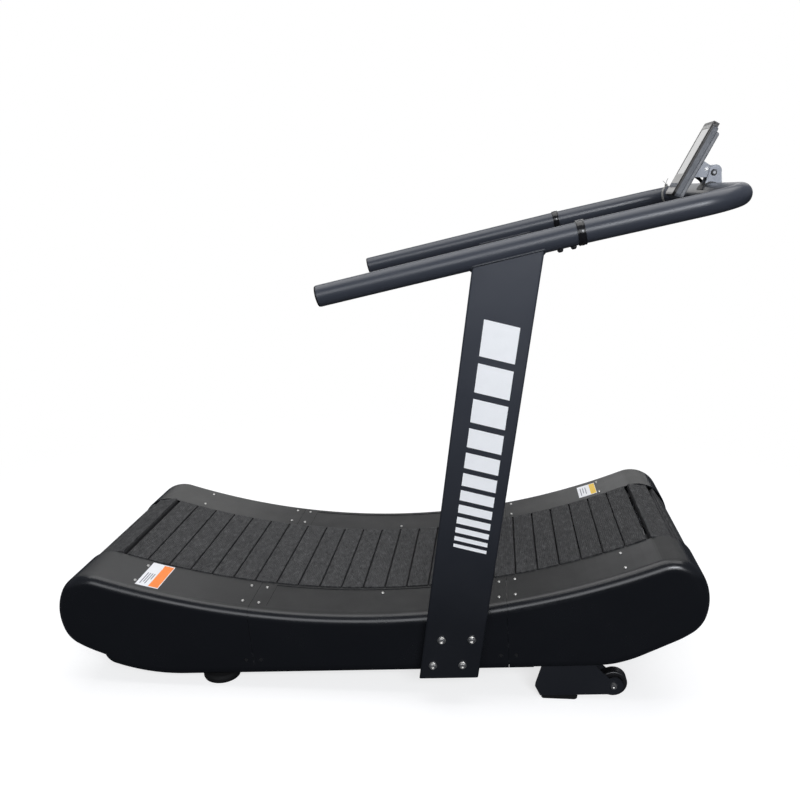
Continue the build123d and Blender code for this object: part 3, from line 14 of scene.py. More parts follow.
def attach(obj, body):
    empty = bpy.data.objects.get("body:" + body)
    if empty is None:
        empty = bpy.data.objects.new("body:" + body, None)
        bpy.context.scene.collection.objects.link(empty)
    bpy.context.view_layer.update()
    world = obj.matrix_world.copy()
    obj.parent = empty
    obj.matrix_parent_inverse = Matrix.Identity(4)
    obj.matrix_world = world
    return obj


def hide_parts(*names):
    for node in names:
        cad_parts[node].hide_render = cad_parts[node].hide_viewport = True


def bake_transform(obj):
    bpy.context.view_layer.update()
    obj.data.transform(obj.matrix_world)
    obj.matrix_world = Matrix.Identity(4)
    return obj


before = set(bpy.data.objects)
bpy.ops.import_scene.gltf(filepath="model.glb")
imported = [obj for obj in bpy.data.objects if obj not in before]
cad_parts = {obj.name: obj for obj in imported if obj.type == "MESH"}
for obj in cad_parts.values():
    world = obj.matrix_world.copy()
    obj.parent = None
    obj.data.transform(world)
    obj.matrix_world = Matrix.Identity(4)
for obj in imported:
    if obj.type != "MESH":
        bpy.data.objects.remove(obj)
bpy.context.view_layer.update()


random.seed(7)  # every build starts from the same seed

# ------------------------------------------------------------------ dimensions
DECK_TILT = radians(3.7)
DECK_X, DECK_Z = 11.810, 75.6       # deck origin in the row frame
FLANGE_RADIUS = 2238.0              # arc of the cover flange, hollow side up
FLANGE_CENTRE_Z = 172.7 + 2235.0

UPRIGHT_X = 111.0                   # rear edge at deck height 0
UPRIGHT_Y = 407.2                   # centre line, either side
UPRIGHT_LEAN = radians(10.07)       # forwards
UPRIGHT_DEPTH = 161.0               # along x
UPRIGHT_HALF_WIDTH = 20.0           # across y

RAIL_RADIUS = 25.4
RAIL_Z = 1048.0                     # axis height at x = 0
RAIL_SLOPE = radians(10.4)

BAR_X, BAR_END_X = 552.0, 933.0     # front U bar, start and front of its axis
BAR_SLOPE = radians(9.55)
BAR_BEND = 120.0                    # bend radius of its corners
BAR_LENGTH = (BAR_END_X - BAR_X) / cos(BAR_SLOPE)

CONSOLE_X, CONSOLE_Z = 825.9, 1214.8    # foot of the console face
CONSOLE_LEAN = radians(29.95)
CONSOLE_UP = (sin(CONSOLE_LEAN), cos(CONSOLE_LEAN))
CONSOLE_OUT = (-cos(CONSOLE_LEAN), sin(CONSOLE_LEAN))
PIVOT_X, PIVOT_Z = 939.0, 1264.5        # console pivot bolt

SIDES = (("right", -1), ("left", 1))


# ---------------------------------------------------------------------- places
def row_direction(x, z):
    """Deck-frame direction in the x-z plane, turned to the row frame."""
    tilt_cos, tilt_sin = cos(DECK_TILT), sin(DECK_TILT)
    return Vector((x * tilt_cos - z * tilt_sin, 0.0, x * tilt_sin + z * tilt_cos))


def row_point(x, y, z):
    """Deck-frame millimetres to row-frame metres."""
    tilt_cos, tilt_sin = cos(DECK_TILT), sin(DECK_TILT)
    return Vector(((DECK_X + x * tilt_cos - z * tilt_sin) / 1000.0,
                   y / 1000.0,
                   (DECK_Z + x * tilt_sin + z * tilt_cos) / 1000.0))


def flange_point(x, y, lift):
    """Point on the cover flange, lifted square to it."""
    z = FLANGE_CENTRE_Z - sqrt(FLANGE_RADIUS ** 2 - x * x)
    angle = asin(x / FLANGE_RADIUS)
    return row_point(x - lift * sin(angle), y, z + lift * cos(angle))


def rail_z(x):
    return RAIL_Z + tan(RAIL_SLOPE) * x


def bar_point(along, y, lift):
    """Point at a length along the front U bar's axis, lifted square to it."""
    return row_point(BAR_X + along * cos(BAR_SLOPE) - lift * sin(BAR_SLOPE), y,
                     rail_z(BAR_X) + along * sin(BAR_SLOPE) + lift * cos(BAR_SLOPE))


def console_point(up, y, out):
    """Point up the console face, across it, and out of it towards the rear."""
    return row_point(CONSOLE_X + up * CONSOLE_UP[0] + out * CONSOLE_OUT[0], y,
                     CONSOLE_Z + up * CONSOLE_UP[1] + out * CONSOLE_OUT[1])


def upright_x(z, along):
    """Deck x on an upright at height z, measured forwards from its rear edge."""
    return UPRIGHT_X + tan(UPRIGHT_LEAN) * z + along


# ---------------------------------------------------------------- shader trees
NOISE_MID = (0.3, 0.7)  # the span that most of a noise falls in


def shade(colour, factor):
    return tuple(channel * factor for channel in colour)


class ShaderTree:
    """Nodes of a material or world; inputs may be numbers, RGB colours or sockets."""

    def __init__(self, owner, output="OutputMaterial"):
        owner.use_nodes = True
        self.owner = owner
        self.tree = owner.node_tree
        self.tree.nodes.clear()
        self.output = self.node(output)
        self.coordinates = self.node("TexCoord").outputs
        self.place = self.coordinates["Object"]

    def node(self, kind, inputs=None, **settings):
        node = self.tree.nodes.new("ShaderNode" + kind)
        for key, value in settings.items():
            setattr(node, key, value)
        for key, value in (inputs or {}).items():
            socket = node.inputs[key]
            if isinstance(value, bpy.types.NodeSocket):
                self.tree.links.new(value, socket)
            elif value is not None:
                socket.default_value = (*value, 1.0) if socket.type == "RGBA" else value
        return node

    @cached_property
    def geometry(self):
        return self.node("NewGeometry").outputs

    def math(self, operation, first, second=0.0):
        return self.node("Math", {0: first, 1: second}, operation=operation).outputs[0]

    def add(self, first, second):
        return self.math("ADD", first, second)

    def subtract(self, first, second):
        return self.math("SUBTRACT", first, second)

    def multiply(self, first, second):
        return self.math("MULTIPLY", first, second)

    def xyz(self, vector):
        return self.node("SeparateXYZ", {0: vector}).outputs

    def stretched(self, scale, turn=0.0):
        """Object coordinates scaled per axis and turned about z."""
        return self.node("Mapping", {"Vector": self.place, "Scale": scale,
                                     "Rotation": (0.0, 0.0, turn)}).outputs[0]

    def noise(self, scale, detail=2.0, roughness=0.5, distortion=0.0, vector=None):
        return self.node("TexNoise", {"Vector": vector or self.place, "Scale": scale,
                                      "Detail": detail, "Roughness": roughness,
                                      "Distortion": distortion}).outputs["Fac"]

    def cells(self, scale):
        return self.node("TexVoronoi", {"Vector": self.place, "Scale": scale},
                         feature="SMOOTH_F1").outputs["Distance"]

    def brushing(self, stretch):
        """Directional scratches, finest along the most stretched axes."""
        return self.noise(scale=1.0, detail=4.0, roughness=0.7, vector=self.stretched(stretch))

    def pits(self, cell_scale, fine_scale):
        """Height of a moulded grain."""
        fine = self.noise(scale=fine_scale)
        return self.add(self.cells(cell_scale), self.multiply(fine, 0.6))

    def ramp(self, value, span=(0.0, 1.0), to=(0.0, 1.0), smooth=False):
        """Value mapped from a span to another, held at its ends."""
        return self.node("MapRange", {"Value": value, "From Min": span[0], "From Max": span[1],
                                      "To Min": to[0], "To Max": to[1]},
                         interpolation_type="SMOOTHSTEP" if smooth else "LINEAR").outputs[0]

    def mix(self, first, second, share):
        """First colour at share 0, second at share 1."""
        return self.node("Mix", {0: share, 6: first, 7: second}, data_type="RGBA").outputs[2]

    def bump(self, height, depth, strength):
        return self.node("Bump", {"Height": height, "Distance": depth,
                                  "Strength": strength}).outputs[0]

    def edge(self, radius):
        """0 on flat ground, towards 1 on sharp edges."""
        bevel = self.node("Bevel", {"Radius": radius}, samples=4).outputs[0]
        dot = self.node("VectorMath", {0: bevel, 1: self.geometry["Normal"]},
                        operation="DOT_PRODUCT")
        return self.ramp(dot.outputs["Value"], span=(0.995, 0.86))

    def edge_lightening(self, radius, scale, detail, span, most):
        """Patchy lightening on the edges, up to the given share: rubbing on some pieces, a
        painted highlight on others.
        """
        patches = self.ramp(self.noise(scale=scale, detail=detail), span=span, to=(0.0, most))
        return self.multiply(self.edge(radius), patches)

    def radius_about(self, centre):
        """Distance from a line along y through the centre."""
        x, _, z = self.xyz(self.place)
        across, above = self.subtract(x, centre.x), self.subtract(z, centre.z)
        squares = self.add(self.multiply(across, across), self.multiply(above, above))
        return self.math("SQRT", squares)

    def shader(self, kind, colour, strength=None):
        return self.node(kind, {0: colour, 1: strength}).outputs[0]

    def mix_shaders(self, first, second, share):
        return self.node("MixShader", {0: share, 1: first, 2: second}).outputs[0]

    def finish(self, shader):
        self.tree.links.new(shader, self.output.inputs[0])
        return self.owner

    def surface(self, base, roughness, normal, metallic=0.0, specular=0.5, coat=0.0,
                coat_roughness=0.1):
        """Ends the material in a principled surface."""
        return self.finish(self.node("BsdfPrincipled", {
            "Base Color": base, "Roughness": roughness, "Metallic": metallic, "Normal": normal,
            "Specular IOR Level": specular, "Coat Weight": coat,
            "Coat Roughness": coat_roughness}).outputs[0])


def new_material(name):
    return ShaderTree(bpy.data.materials.new(name))


# ------------------------------------------------------------------- materials
def cover_plastic():
    """Black moulded shell: satin walls, a rougher grained tread on the flat flange."""
    mat = new_material("cover_plastic")
    normal_z = mat.xyz(mat.geometry["True Normal"])[2]
    flat = mat.ramp(normal_z, span=(0.86, 0.97), smooth=True)
    big = mat.noise(scale=3.0, detail=3.0)
    fine = mat.noise(scale=900.0, roughness=0.6)
    wall = mat.mix((0.0048, 0.0054, 0.0070), (0.0068, 0.0075, 0.0095), share=big)
    top = mat.mix((0.022, 0.0222, 0.0225), (0.029, 0.0288, 0.0285), share=big)
    top = mat.mix(top, (0.042, 0.042, 0.0415),
                  share=mat.ramp(fine, span=(0.35, 0.7), to=(0.0, 0.5)))
    # the ends of the flanges are lighter, more so at the rear and on the left: partly faded
    # plastic, partly a painted sheen of grazing light
    x, y, _ = mat.xyz(mat.place)
    from_middle = mat.math("ABSOLUTE", mat.add(x, 0.02))
    ends = mat.ramp(from_middle, span=(0.22, 0.74), smooth=True)
    rear = mat.ramp(x, span=(-0.2, 0.2), to=(1.0, 0.12), smooth=True)
    left = mat.ramp(y, span=(-0.1, 0.1))
    faded_and_sheen = mat.multiply(ends, mat.math("MAXIMUM", rear, left))
    plain_top = mat.mix(top, (0.0, 0.0, 0.0), share=0.66)
    faded_sheen_top = mat.mix(top, (0.11, 0.108, 0.10), share=mat.multiply(left, 0.22))
    top = mat.mix(plain_top, faded_sheen_top, share=faded_and_sheen)
    # painted highlight: the blue-grey lightening along the cover's edges stands in for light
    # caught there, not wear
    edge_wear_and_highlight = mat.edge_lightening(radius=0.004, scale=60.0, detail=4.0, span=(0.45, 0.7), most=0.5)
    base = mat.mix(wall, top, share=flat)
    base = mat.mix(base, (0.05, 0.052, 0.056), share=edge_wear_and_highlight)
    smudge = mat.ramp(mat.noise(scale=14.0, detail=5.0), span=NOISE_MID, to=(-0.03, 0.04))
    height = mat.add(mat.multiply(mat.cells(620.0), 0.6), mat.multiply(fine, 0.5))
    grain_strength = mat.ramp(flat, to=(0.10, 0.75))
    flat_without_sheen = mat.multiply(flat, mat.subtract(1.0, faded_and_sheen))
    return mat.surface(base, roughness=mat.add(mat.ramp(flat, to=(0.24, 0.56)), smudge),
                       normal=mat.bump(height, depth=0.00028, strength=grain_strength),
                       specular=mat.ramp(flat_without_sheen, to=(0.5, 0.34)))


def powder(name, dark, light, rough, peel, painted_light_falloff=False):
    """Powder coat: orange peel, edges lighter (partly rubbed paint, partly a painted highlight);
    the painted light falloff makes it lighter high up and darker towards the floor, painted
    light and shade.
    """
    mat = new_material(name)
    base = mat.mix(dark, light, share=mat.noise(scale=4.0, detail=3.0))
    if painted_light_falloff:
        # painted light and shade: lighter high up, darker towards the floor, as the light falls
        low = mat.ramp(mat.xyz(mat.place)[2], span=(0.25, 1.12), to=(1.0, 0.0))
        painted_light_high = mat.mix(base, shade(light, 2.5), share=0.42)
        painted_shade_low = mat.mix(base, (0.003, 0.0033, 0.0045), share=0.72)
        base = mat.mix(painted_light_high, painted_shade_low, share=low)
    speck = mat.ramp(mat.noise(scale=1400.0, detail=1.0), span=(0.62, 0.75), to=(0.0, 0.35))
    base = mat.mix(base, shade(light, 1.9), share=speck)
    # edges painted lighter: partly rubbed paint, partly a painted highlight on the edges
    edge_wear_and_highlight = mat.edge_lightening(radius=0.0025, scale=90.0, detail=4.0, span=(0.5, 0.75), most=0.45)
    base = mat.mix(base, shade(light, 2.2), share=edge_wear_and_highlight)
    fine = mat.noise(scale=1500.0, detail=1.0)
    height = mat.add(mat.noise(scale=420.0), mat.multiply(fine, 0.35))
    cloudy = mat.ramp(mat.noise(scale=9.0, detail=4.0), span=NOISE_MID,
                      to=(rough - 0.03, rough + 0.05))
    return mat.surface(base, roughness=mat.add(cloudy, mat.multiply(edge_wear_and_highlight, -0.08)),
                       normal=mat.bump(height, depth=0.00022, strength=peel))


def tread_rubber():
    """Moulded rubber with a crossed ridge pattern, scuffed and slightly dusty."""
    ridge_pitch = 0.0104
    ridge_slant = 0.62
    wobble_width = 0.010
    mat = new_material("tread_rubber")
    x, y, _ = mat.xyz(mat.place)
    centred = mat.subtract(mat.noise(scale=26.0, detail=3.0, roughness=0.6), 0.5)
    wobbly_x = mat.add(x, mat.multiply(centred, wobble_width))
    # two crossed sets of ridges
    waves = [mat.math("SINE", mat.multiply(
        mat.math(lean, wobbly_x, mat.multiply(y, ridge_slant)), 2 * pi / ridge_pitch))
        for lean in ("ADD", "SUBTRACT")]
    diamond = mat.multiply(*waves)
    fine = mat.noise(scale=620.0, detail=3.0, roughness=0.7)
    mid = mat.noise(scale=150.0, detail=4.0, roughness=0.7)
    patch = mat.noise(scale=34.0, detail=4.0, roughness=0.65, distortion=0.6)
    coarse = mat.noise(scale=95.0, detail=3.0, roughness=0.75,
                       vector=mat.stretched((1.0, 0.45, 1.0), turn=0.7))
    big = mat.noise(scale=7.0, detail=4.0, roughness=0.6)
    facing_up = mat.ramp(mat.xyz(mat.geometry["True Normal"])[2], span=(0.55, 0.9),
                         to=(0.25, 1.0), smooth=True)
    ridges = mat.ramp(diamond, span=(-0.5, 0.6), smooth=True)
    height = mat.add(mat.multiply(ridges, 1.3), mat.multiply(fine, 0.6))
    height = mat.add(height, mat.multiply(mid, 0.9))
    dust = mat.multiply(mat.ramp(diamond, span=(0.0, 0.8), to=(0.0, 0.55)),
                        mat.ramp(patch, span=(0.38, 0.62), to=(0.15, 1.0)))
    base = mat.mix((0.019, 0.0193, 0.0202), (0.028, 0.0281, 0.0288), share=big)
    base = mat.mix(base, (0.047, 0.047, 0.048),
                   share=mat.ramp(mid, span=(0.42, 0.66), to=(0.0, 0.8)))
    base = mat.mix(base, (0.011, 0.0112, 0.012),
                   share=mat.ramp(mid, span=(0.5, 0.3), to=(0.0, 0.7)))
    base = mat.mix(base, (0.092, 0.091, 0.09), share=dust)
    # cleaner and darker towards the front, where feet land least
    base = mat.mix(base, (0.008, 0.008, 0.009),
                   share=mat.ramp(x, span=(0.15, 0.65), to=(0.0, 0.36)))
    base = mat.mix(base, (0.080, 0.080, 0.082),
                   share=mat.ramp(coarse, span=(0.52, 0.72), to=(0.0, 0.75)))
    base = mat.mix(base, (0.006, 0.006, 0.007),
                   share=mat.ramp(coarse, span=(0.46, 0.30), to=(0.0, 0.85)))
    return mat.surface(base, roughness=mat.ramp(mid, span=NOISE_MID, to=(0.58, 0.8)),
                       normal=mat.bump(height, depth=0.0011,
                                       strength=mat.multiply(facing_up, 0.9)),
                       specular=0.34)


def rubber(name, dark, light, rough=0.7, grain=500.0, depth=0.0003):
    mat = new_material(name)
    cloud = mat.noise(scale=30.0, detail=4.0, roughness=0.6)
    base = mat.mix(dark, light, share=cloud)
    scuff = mat.ramp(mat.noise(scale=160.0, detail=3.0), span=(0.55, 0.75), to=(0.0, 0.4))
    base = mat.mix(base, shade(light, 2.0), share=scuff)
    height = mat.add(mat.cells(grain), mat.noise(scale=grain * 1.6))
    return mat.surface(
        base, roughness=mat.ramp(cloud, span=NOISE_MID, to=(rough - 0.08, rough + 0.08)),
        normal=mat.bump(height, depth=depth, strength=0.6), specular=0.35)


def plastic(name, dark, light, rough=0.45, grain=1100.0, depth=0.00012):
    mat = new_material(name)
    cloud = mat.noise(scale=12.0, detail=4.0, roughness=0.55)
    edge_wear_and_highlight = mat.edge_lightening(radius=0.0012, scale=200.0, detail=3.0, span=(0.5, 0.7), most=0.35)
    worn = tuple(channel * 1.6 + 0.02 for channel in light)
    base = mat.mix(mat.mix(dark, light, share=cloud), worn, share=edge_wear_and_highlight)
    return mat.surface(
        base, roughness=mat.ramp(cloud, span=NOISE_MID, to=(rough - 0.05, rough + 0.06)),
        normal=mat.bump(mat.pits(grain, grain * 1.5), depth=depth, strength=0.5))


def steel(name, tone, rough, stretch=(60.0, 60.0, 900.0), metallic=1.0):
    """Plated or brushed steel: fine directional scratches, clouds and dull spots."""
    mat = new_material(name)
    brush = mat.brushing(stretch)
    cloud = mat.noise(scale=45.0, detail=4.0, roughness=0.6)
    stain = mat.ramp(mat.noise(scale=320.0, detail=3.0), span=(0.58, 0.8), to=(0.0, 0.25))
    base = mat.mix(shade(tone, 0.86), tone, share=cloud)
    base = mat.mix(base, shade(tone, 0.45), share=stain)
    cloudy = mat.ramp(cloud, span=NOISE_MID, to=(rough - 0.06, rough + 0.08))
    scratches = mat.multiply(mat.subtract(brush, 0.5), 0.16)
    return mat.surface(base, roughness=mat.add(cloudy, scratches), metallic=metallic,
                       normal=mat.bump(brush, depth=0.00006, strength=0.5))


def weld_paint():
    mat = new_material("weld_paint")
    cloud = mat.noise(scale=260.0, detail=3.0)
    base = mat.mix((0.026, 0.029, 0.036), (0.045, 0.049, 0.058), share=cloud)
    return mat.surface(base, roughness=mat.ramp(cloud, span=NOISE_MID, to=(0.34, 0.5)),
                       normal=mat.bump(mat.noise(scale=700.0, detail=3.0),
                                       depth=0.0003, strength=0.7))


def decal(name, tone):
    """Thin printed vinyl with a faint print grain."""
    mat = new_material(name)
    cloud = mat.noise(scale=38.0, detail=4.0)
    grain = mat.ramp(mat.noise(scale=1500.0, detail=1.0), span=(0.45, 0.7), to=(0.0, 0.16))
    base = mat.mix(shade(tone, 0.93), tone, share=cloud)
    base = mat.mix(base, shade(tone, 0.72), share=grain)
    return mat.surface(base, roughness=mat.ramp(cloud, span=NOISE_MID, to=(0.37, 0.47)),
                       normal=mat.bump(mat.noise(scale=900.0), depth=0.00008, strength=0.4),
                       specular=0.45)


def console_bezel():
    """Dark moulding with a light face on its front only, inside a dark rim."""
    mat = new_material("console_bezel")
    normal_x, _, normal_z = mat.xyz(mat.geometry["True Normal"])
    out = row_direction(*CONSOLE_OUT)
    up = row_direction(*CONSOLE_UP)
    foot = console_point(0.0, 0.0, 0.0)
    facing = mat.add(mat.multiply(normal_x, out.x), mat.multiply(normal_z, out.z))
    face = mat.ramp(facing, span=(0.90, 0.97))
    from_centre = mat.math("ABSOLUTE", mat.xyz(mat.place)[1])
    face = mat.multiply(face, mat.ramp(from_centre, span=(0.0445, 0.0460), to=(1.0, 0.0)))
    x, _, z = mat.xyz(mat.place)
    along = mat.add(mat.multiply(mat.subtract(x, foot.x), up.x),
                    mat.multiply(mat.subtract(z, foot.z), up.z))
    face = mat.multiply(face, mat.ramp(along, span=(0.190, 0.194), to=(1.0, 0.0)))
    face = mat.multiply(face, mat.ramp(along, span=(0.006, 0.009)))
    cloud = mat.noise(scale=14.0, detail=4.0, roughness=0.55)
    light = mat.mix((0.27, 0.265, 0.255), (0.35, 0.345, 0.335), share=cloud)
    dark = mat.mix((0.010, 0.009, 0.0085), (0.020, 0.018, 0.017), share=cloud)
    return mat.surface(mat.mix(dark, light, share=face),
                       roughness=mat.ramp(cloud, span=NOISE_MID, to=(0.34, 0.46)),
                       normal=mat.bump(mat.pits(1100.0, 1600.0), depth=0.00012, strength=0.5))


def console_bracket():
    """Plain steel ears on a black rubber-coated saddle round the U bar."""
    mat = new_material("console_bracket")
    bar_axis = row_point(BAR_END_X, 0.0, rail_z(BAR_X) + (BAR_END_X - BAR_X) * tan(BAR_SLOPE))
    coated = mat.ramp(mat.radius_about(bar_axis), span=(0.0283, 0.0289), to=(1.0, 0.0))
    cloud = mat.noise(scale=60.0, detail=4.0, roughness=0.6)
    stain = mat.ramp(mat.noise(scale=320.0, detail=3.0), span=(0.58, 0.8), to=(0.0, 0.3))
    base = mat.mix((0.17, 0.18, 0.20), (0.235, 0.245, 0.27), share=cloud)
    base = mat.mix(base, (0.12, 0.125, 0.14), share=stain)
    base = mat.mix(base, (0.009, 0.009, 0.010), share=coated)
    cloudy = mat.ramp(cloud, span=NOISE_MID, to=(0.36, 0.5))
    return mat.surface(base, roughness=mat.add(cloudy, mat.multiply(coated, 0.12)),
                       metallic=mat.multiply(mat.subtract(1.0, coated), 0.7),
                       normal=mat.bump(mat.brushing((500.0, 500.0, 30.0)),
                                       depth=0.00006, strength=0.5))


def pivot_bolt():
    """Blackened pivot bolt with a worn bright middle."""
    mat = new_material("pivot_bolt")
    middle = mat.ramp(mat.radius_about(row_point(PIVOT_X, 0.0, PIVOT_Z)),
                      span=(0.0028, 0.0042), to=(1.0, 0.0))
    cloud = mat.noise(scale=160.0, detail=4.0, roughness=0.6)
    dark = mat.mix((0.020, 0.021, 0.023), (0.045, 0.046, 0.05), share=cloud)
    bright = mat.mix((0.30, 0.31, 0.33), (0.46, 0.47, 0.49), share=cloud)
    return mat.surface(mat.mix(dark, bright, share=middle), metallic=0.25,
                       roughness=mat.ramp(cloud, span=NOISE_MID, to=(0.38, 0.52)),
                       normal=mat.bump(mat.noise(scale=900.0, detail=3.0),
                                       depth=0.00006, strength=0.5))


def console_mount_plate():
    """Steel mount plate with a rivet, behind and above the pivot; the rivet is coloured near
    white, a painted glint.
    """
    mat = new_material("console_mount_plate")
    rivet = mat.ramp(mat.radius_about(row_point(PIVOT_X - 18.6, 0.0, PIVOT_Z + 9.4)),
                     span=(0.0044, 0.0050), to=(1.0, 0.0))
    cloud = mat.noise(scale=60.0, detail=4.0, roughness=0.6)
    plate = mat.mix((0.17, 0.18, 0.20), (0.24, 0.25, 0.275), share=cloud)
    # painted glint: the rivet's near-white colour
    bright = mat.mix((0.80, 0.80, 0.80), (0.92, 0.92, 0.92), share=cloud)
    return mat.surface(mat.mix(plate, bright, share=rivet),
                       roughness=mat.ramp(cloud, span=NOISE_MID, to=(0.38, 0.52)),
                       metallic=mat.ramp(rivet, to=(0.6, 0.2)),
                       normal=mat.bump(mat.brushing((500.0, 500.0, 30.0)),
                                       depth=0.00006, strength=0.5))


def cover_screw_plate():
    """Zinc on the flange screws; the ones low on the sides sit in recesses and are painted
    black, a painted shade.
    """
    mat = new_material("cover_screw_plate")
    from_centre = mat.math("ABSOLUTE", mat.xyz(mat.place)[1])
    # painted shade: the screws in the side recesses are made black
    black = mat.ramp(from_centre, span=(0.360, 0.368))
    cloud = mat.noise(scale=120.0, detail=4.0, roughness=0.6)
    stain = mat.ramp(mat.noise(scale=520.0, detail=3.0), span=(0.5, 0.8), to=(0.0, 0.5))
    base = mat.mix((0.40, 0.39, 0.37), (0.62, 0.61, 0.585), share=cloud)
    base = mat.mix(base, (0.16, 0.155, 0.15), share=stain)
    base = mat.mix(base, (0.012, 0.012, 0.013), share=black)
    return mat.surface(base, roughness=mat.ramp(cloud, span=NOISE_MID, to=(0.34, 0.5)),
                       metallic=mat.multiply(mat.subtract(1.0, black), 0.85),
                       normal=mat.bump(mat.noise(scale=900.0, detail=3.0),
                                       depth=0.00006, strength=0.5))


def textured_shell(name, dark, light):
    """Moulded grey shell with a coarse spark-eroded texture and dark edges."""
    mat = new_material(name)
    mottle = mat.noise(scale=260.0, detail=4.0, roughness=0.75)
    cloud = mat.noise(scale=18.0, detail=3.0)
    base = mat.mix(dark, light, share=mat.ramp(mottle, span=NOISE_MID))
    base = mat.mix(base, shade(dark, 0.6),
                   share=mat.ramp(cloud, span=(0.35, 0.7), to=(0.0, 0.3)))
    base = mat.mix(base, shade(dark, 0.25), share=mat.multiply(mat.edge(0.0015), 0.8))
    height = mat.add(mat.cells(700.0), mat.multiply(mottle, 0.8))
    return mat.surface(base, roughness=mat.ramp(cloud, span=NOISE_MID, to=(0.40, 0.52)),
                       normal=mat.bump(height, depth=0.0003, strength=0.7))


def lens():
    """Dark, faintly smeared window over the display."""
    mat = new_material("lens")
    cloud = mat.noise(scale=20.0, detail=3.0)
    base = mat.mix((0.010, 0.0115, 0.0125), (0.017, 0.019, 0.020), share=cloud)
    smear = mat.ramp(mat.noise(scale=70.0, detail=5.0, roughness=0.7, distortion=1.2),
                     span=(0.45, 0.8), to=(0.0, 0.12))
    return mat.surface(base, roughness=mat.add(smear, 0.07),
                       normal=mat.bump(cloud, depth=0.00002, strength=0.2),
                       specular=0.55, coat=0.6, coat_roughness=0.04)


MATERIALS = {
    "cover": cover_plastic(),
    "frame": powder("frame_paint", dark=(0.019, 0.0215, 0.028), light=(0.025, 0.028, 0.036),
                    rough=0.34, peel=0.30, painted_light_falloff=True),
    "base": powder("base_paint", dark=(0.0085, 0.0095, 0.0125), light=(0.012, 0.0133, 0.017),
                   rough=0.42, peel=0.35),
    "black_bolt": powder("black_oxide", dark=(0.012, 0.012, 0.013), light=(0.02, 0.02, 0.022),
                         rough=0.34, peel=0.2),
    "tread": tread_rubber(),
    "carrier": steel("slat_aluminium", tone=(0.10, 0.10, 0.105), rough=0.42,
                     stretch=(20.0, 900.0, 900.0), metallic=0.85),
    "belt": rubber("belt_rubber", dark=(0.008, 0.008, 0.009), light=(0.014, 0.014, 0.015)),
    # black rubber darkened far below the belt's: painted shade, for the feet sit under the
    # covers
    "foot": rubber("foot_rubber", dark=(0.0012, 0.0013, 0.0015), light=(0.0024, 0.0025, 0.003),
                   rough=0.82, grain=380.0, depth=0.0005),
    "zinc": steel("zinc_plate", tone=(0.66, 0.65, 0.63), rough=0.36),
    "shaft": steel("ground_shaft", tone=(0.55, 0.55, 0.56), rough=0.25,
                   stretch=(900.0, 30.0, 900.0)),
    "pulley": steel("pulley_metal", tone=(0.22, 0.22, 0.23), rough=0.45,
                    stretch=(400.0, 30.0, 400.0)),
    "casting": powder("bearing_casting", dark=(0.03, 0.034, 0.04), light=(0.05, 0.055, 0.062),
                      rough=0.5, peel=0.8),
    "nylon": plastic("roller_nylon", dark=(0.42, 0.42, 0.39), light=(0.55, 0.55, 0.51),
                     rough=0.4),
    "black_plastic": plastic("black_plastic", dark=(0.008, 0.008, 0.009),
                             light=(0.014, 0.014, 0.015), rough=0.42),
    "wheel": plastic("wheel_polyurethane", dark=(0.006, 0.006, 0.007),
                     light=(0.012, 0.012, 0.013), rough=0.4, grain=700.0, depth=0.0002),
    "shell": textured_shell("console_shell", dark=(0.085, 0.092, 0.105),
                            light=(0.155, 0.163, 0.182)),
    "back": textured_shell("console_back", dark=(0.15, 0.155, 0.168), light=(0.29, 0.295, 0.31)),
    "bezel": console_bezel(),
    "lens": lens(),
    "button": plastic("button_rubber", dark=(0.12, 0.13, 0.15), light=(0.16, 0.17, 0.19),
                      rough=0.6, grain=900.0),
    # a spare: no piece wears it
    "bracket_steel": steel("bracket_steel", tone=(0.27, 0.29, 0.33), rough=0.40,
                           stretch=(500.0, 500.0, 30.0), metallic=0.7),
    "bracket": console_bracket(),
    "pivot": pivot_bolt(),
    "plate": console_mount_plate(),
    "screw": cover_screw_plate(),
    "collar": plastic("collar_gloss", dark=(0.006, 0.006, 0.007), light=(0.010, 0.010, 0.011),
                      rough=0.16, grain=700.0, depth=0.00004),
    "cable": rubber("cable_jacket", dark=(0.006, 0.006, 0.007), light=(0.010, 0.010, 0.011),
                    rough=0.5, grain=900.0, depth=0.0001),
    "tie": plastic("tie_nylon", dark=(0.20, 0.197, 0.185), light=(0.28, 0.275, 0.26), rough=0.4),
    "weld": weld_paint(),
    "graphic": decal("pale_graphic", tone=(0.99, 0.995, 1.0)),
    "label_white": decal("label_white", tone=(0.80, 0.80, 0.82)),
    "label_orange": decal("label_orange", tone=(0.92, 0.235, 0.032)),
    "label_yellow": decal("label_yellow", tone=(0.78, 0.50, 0.03)),
    "label_grey": decal("label_grey", tone=(0.22, 0.22, 0.25)),
}

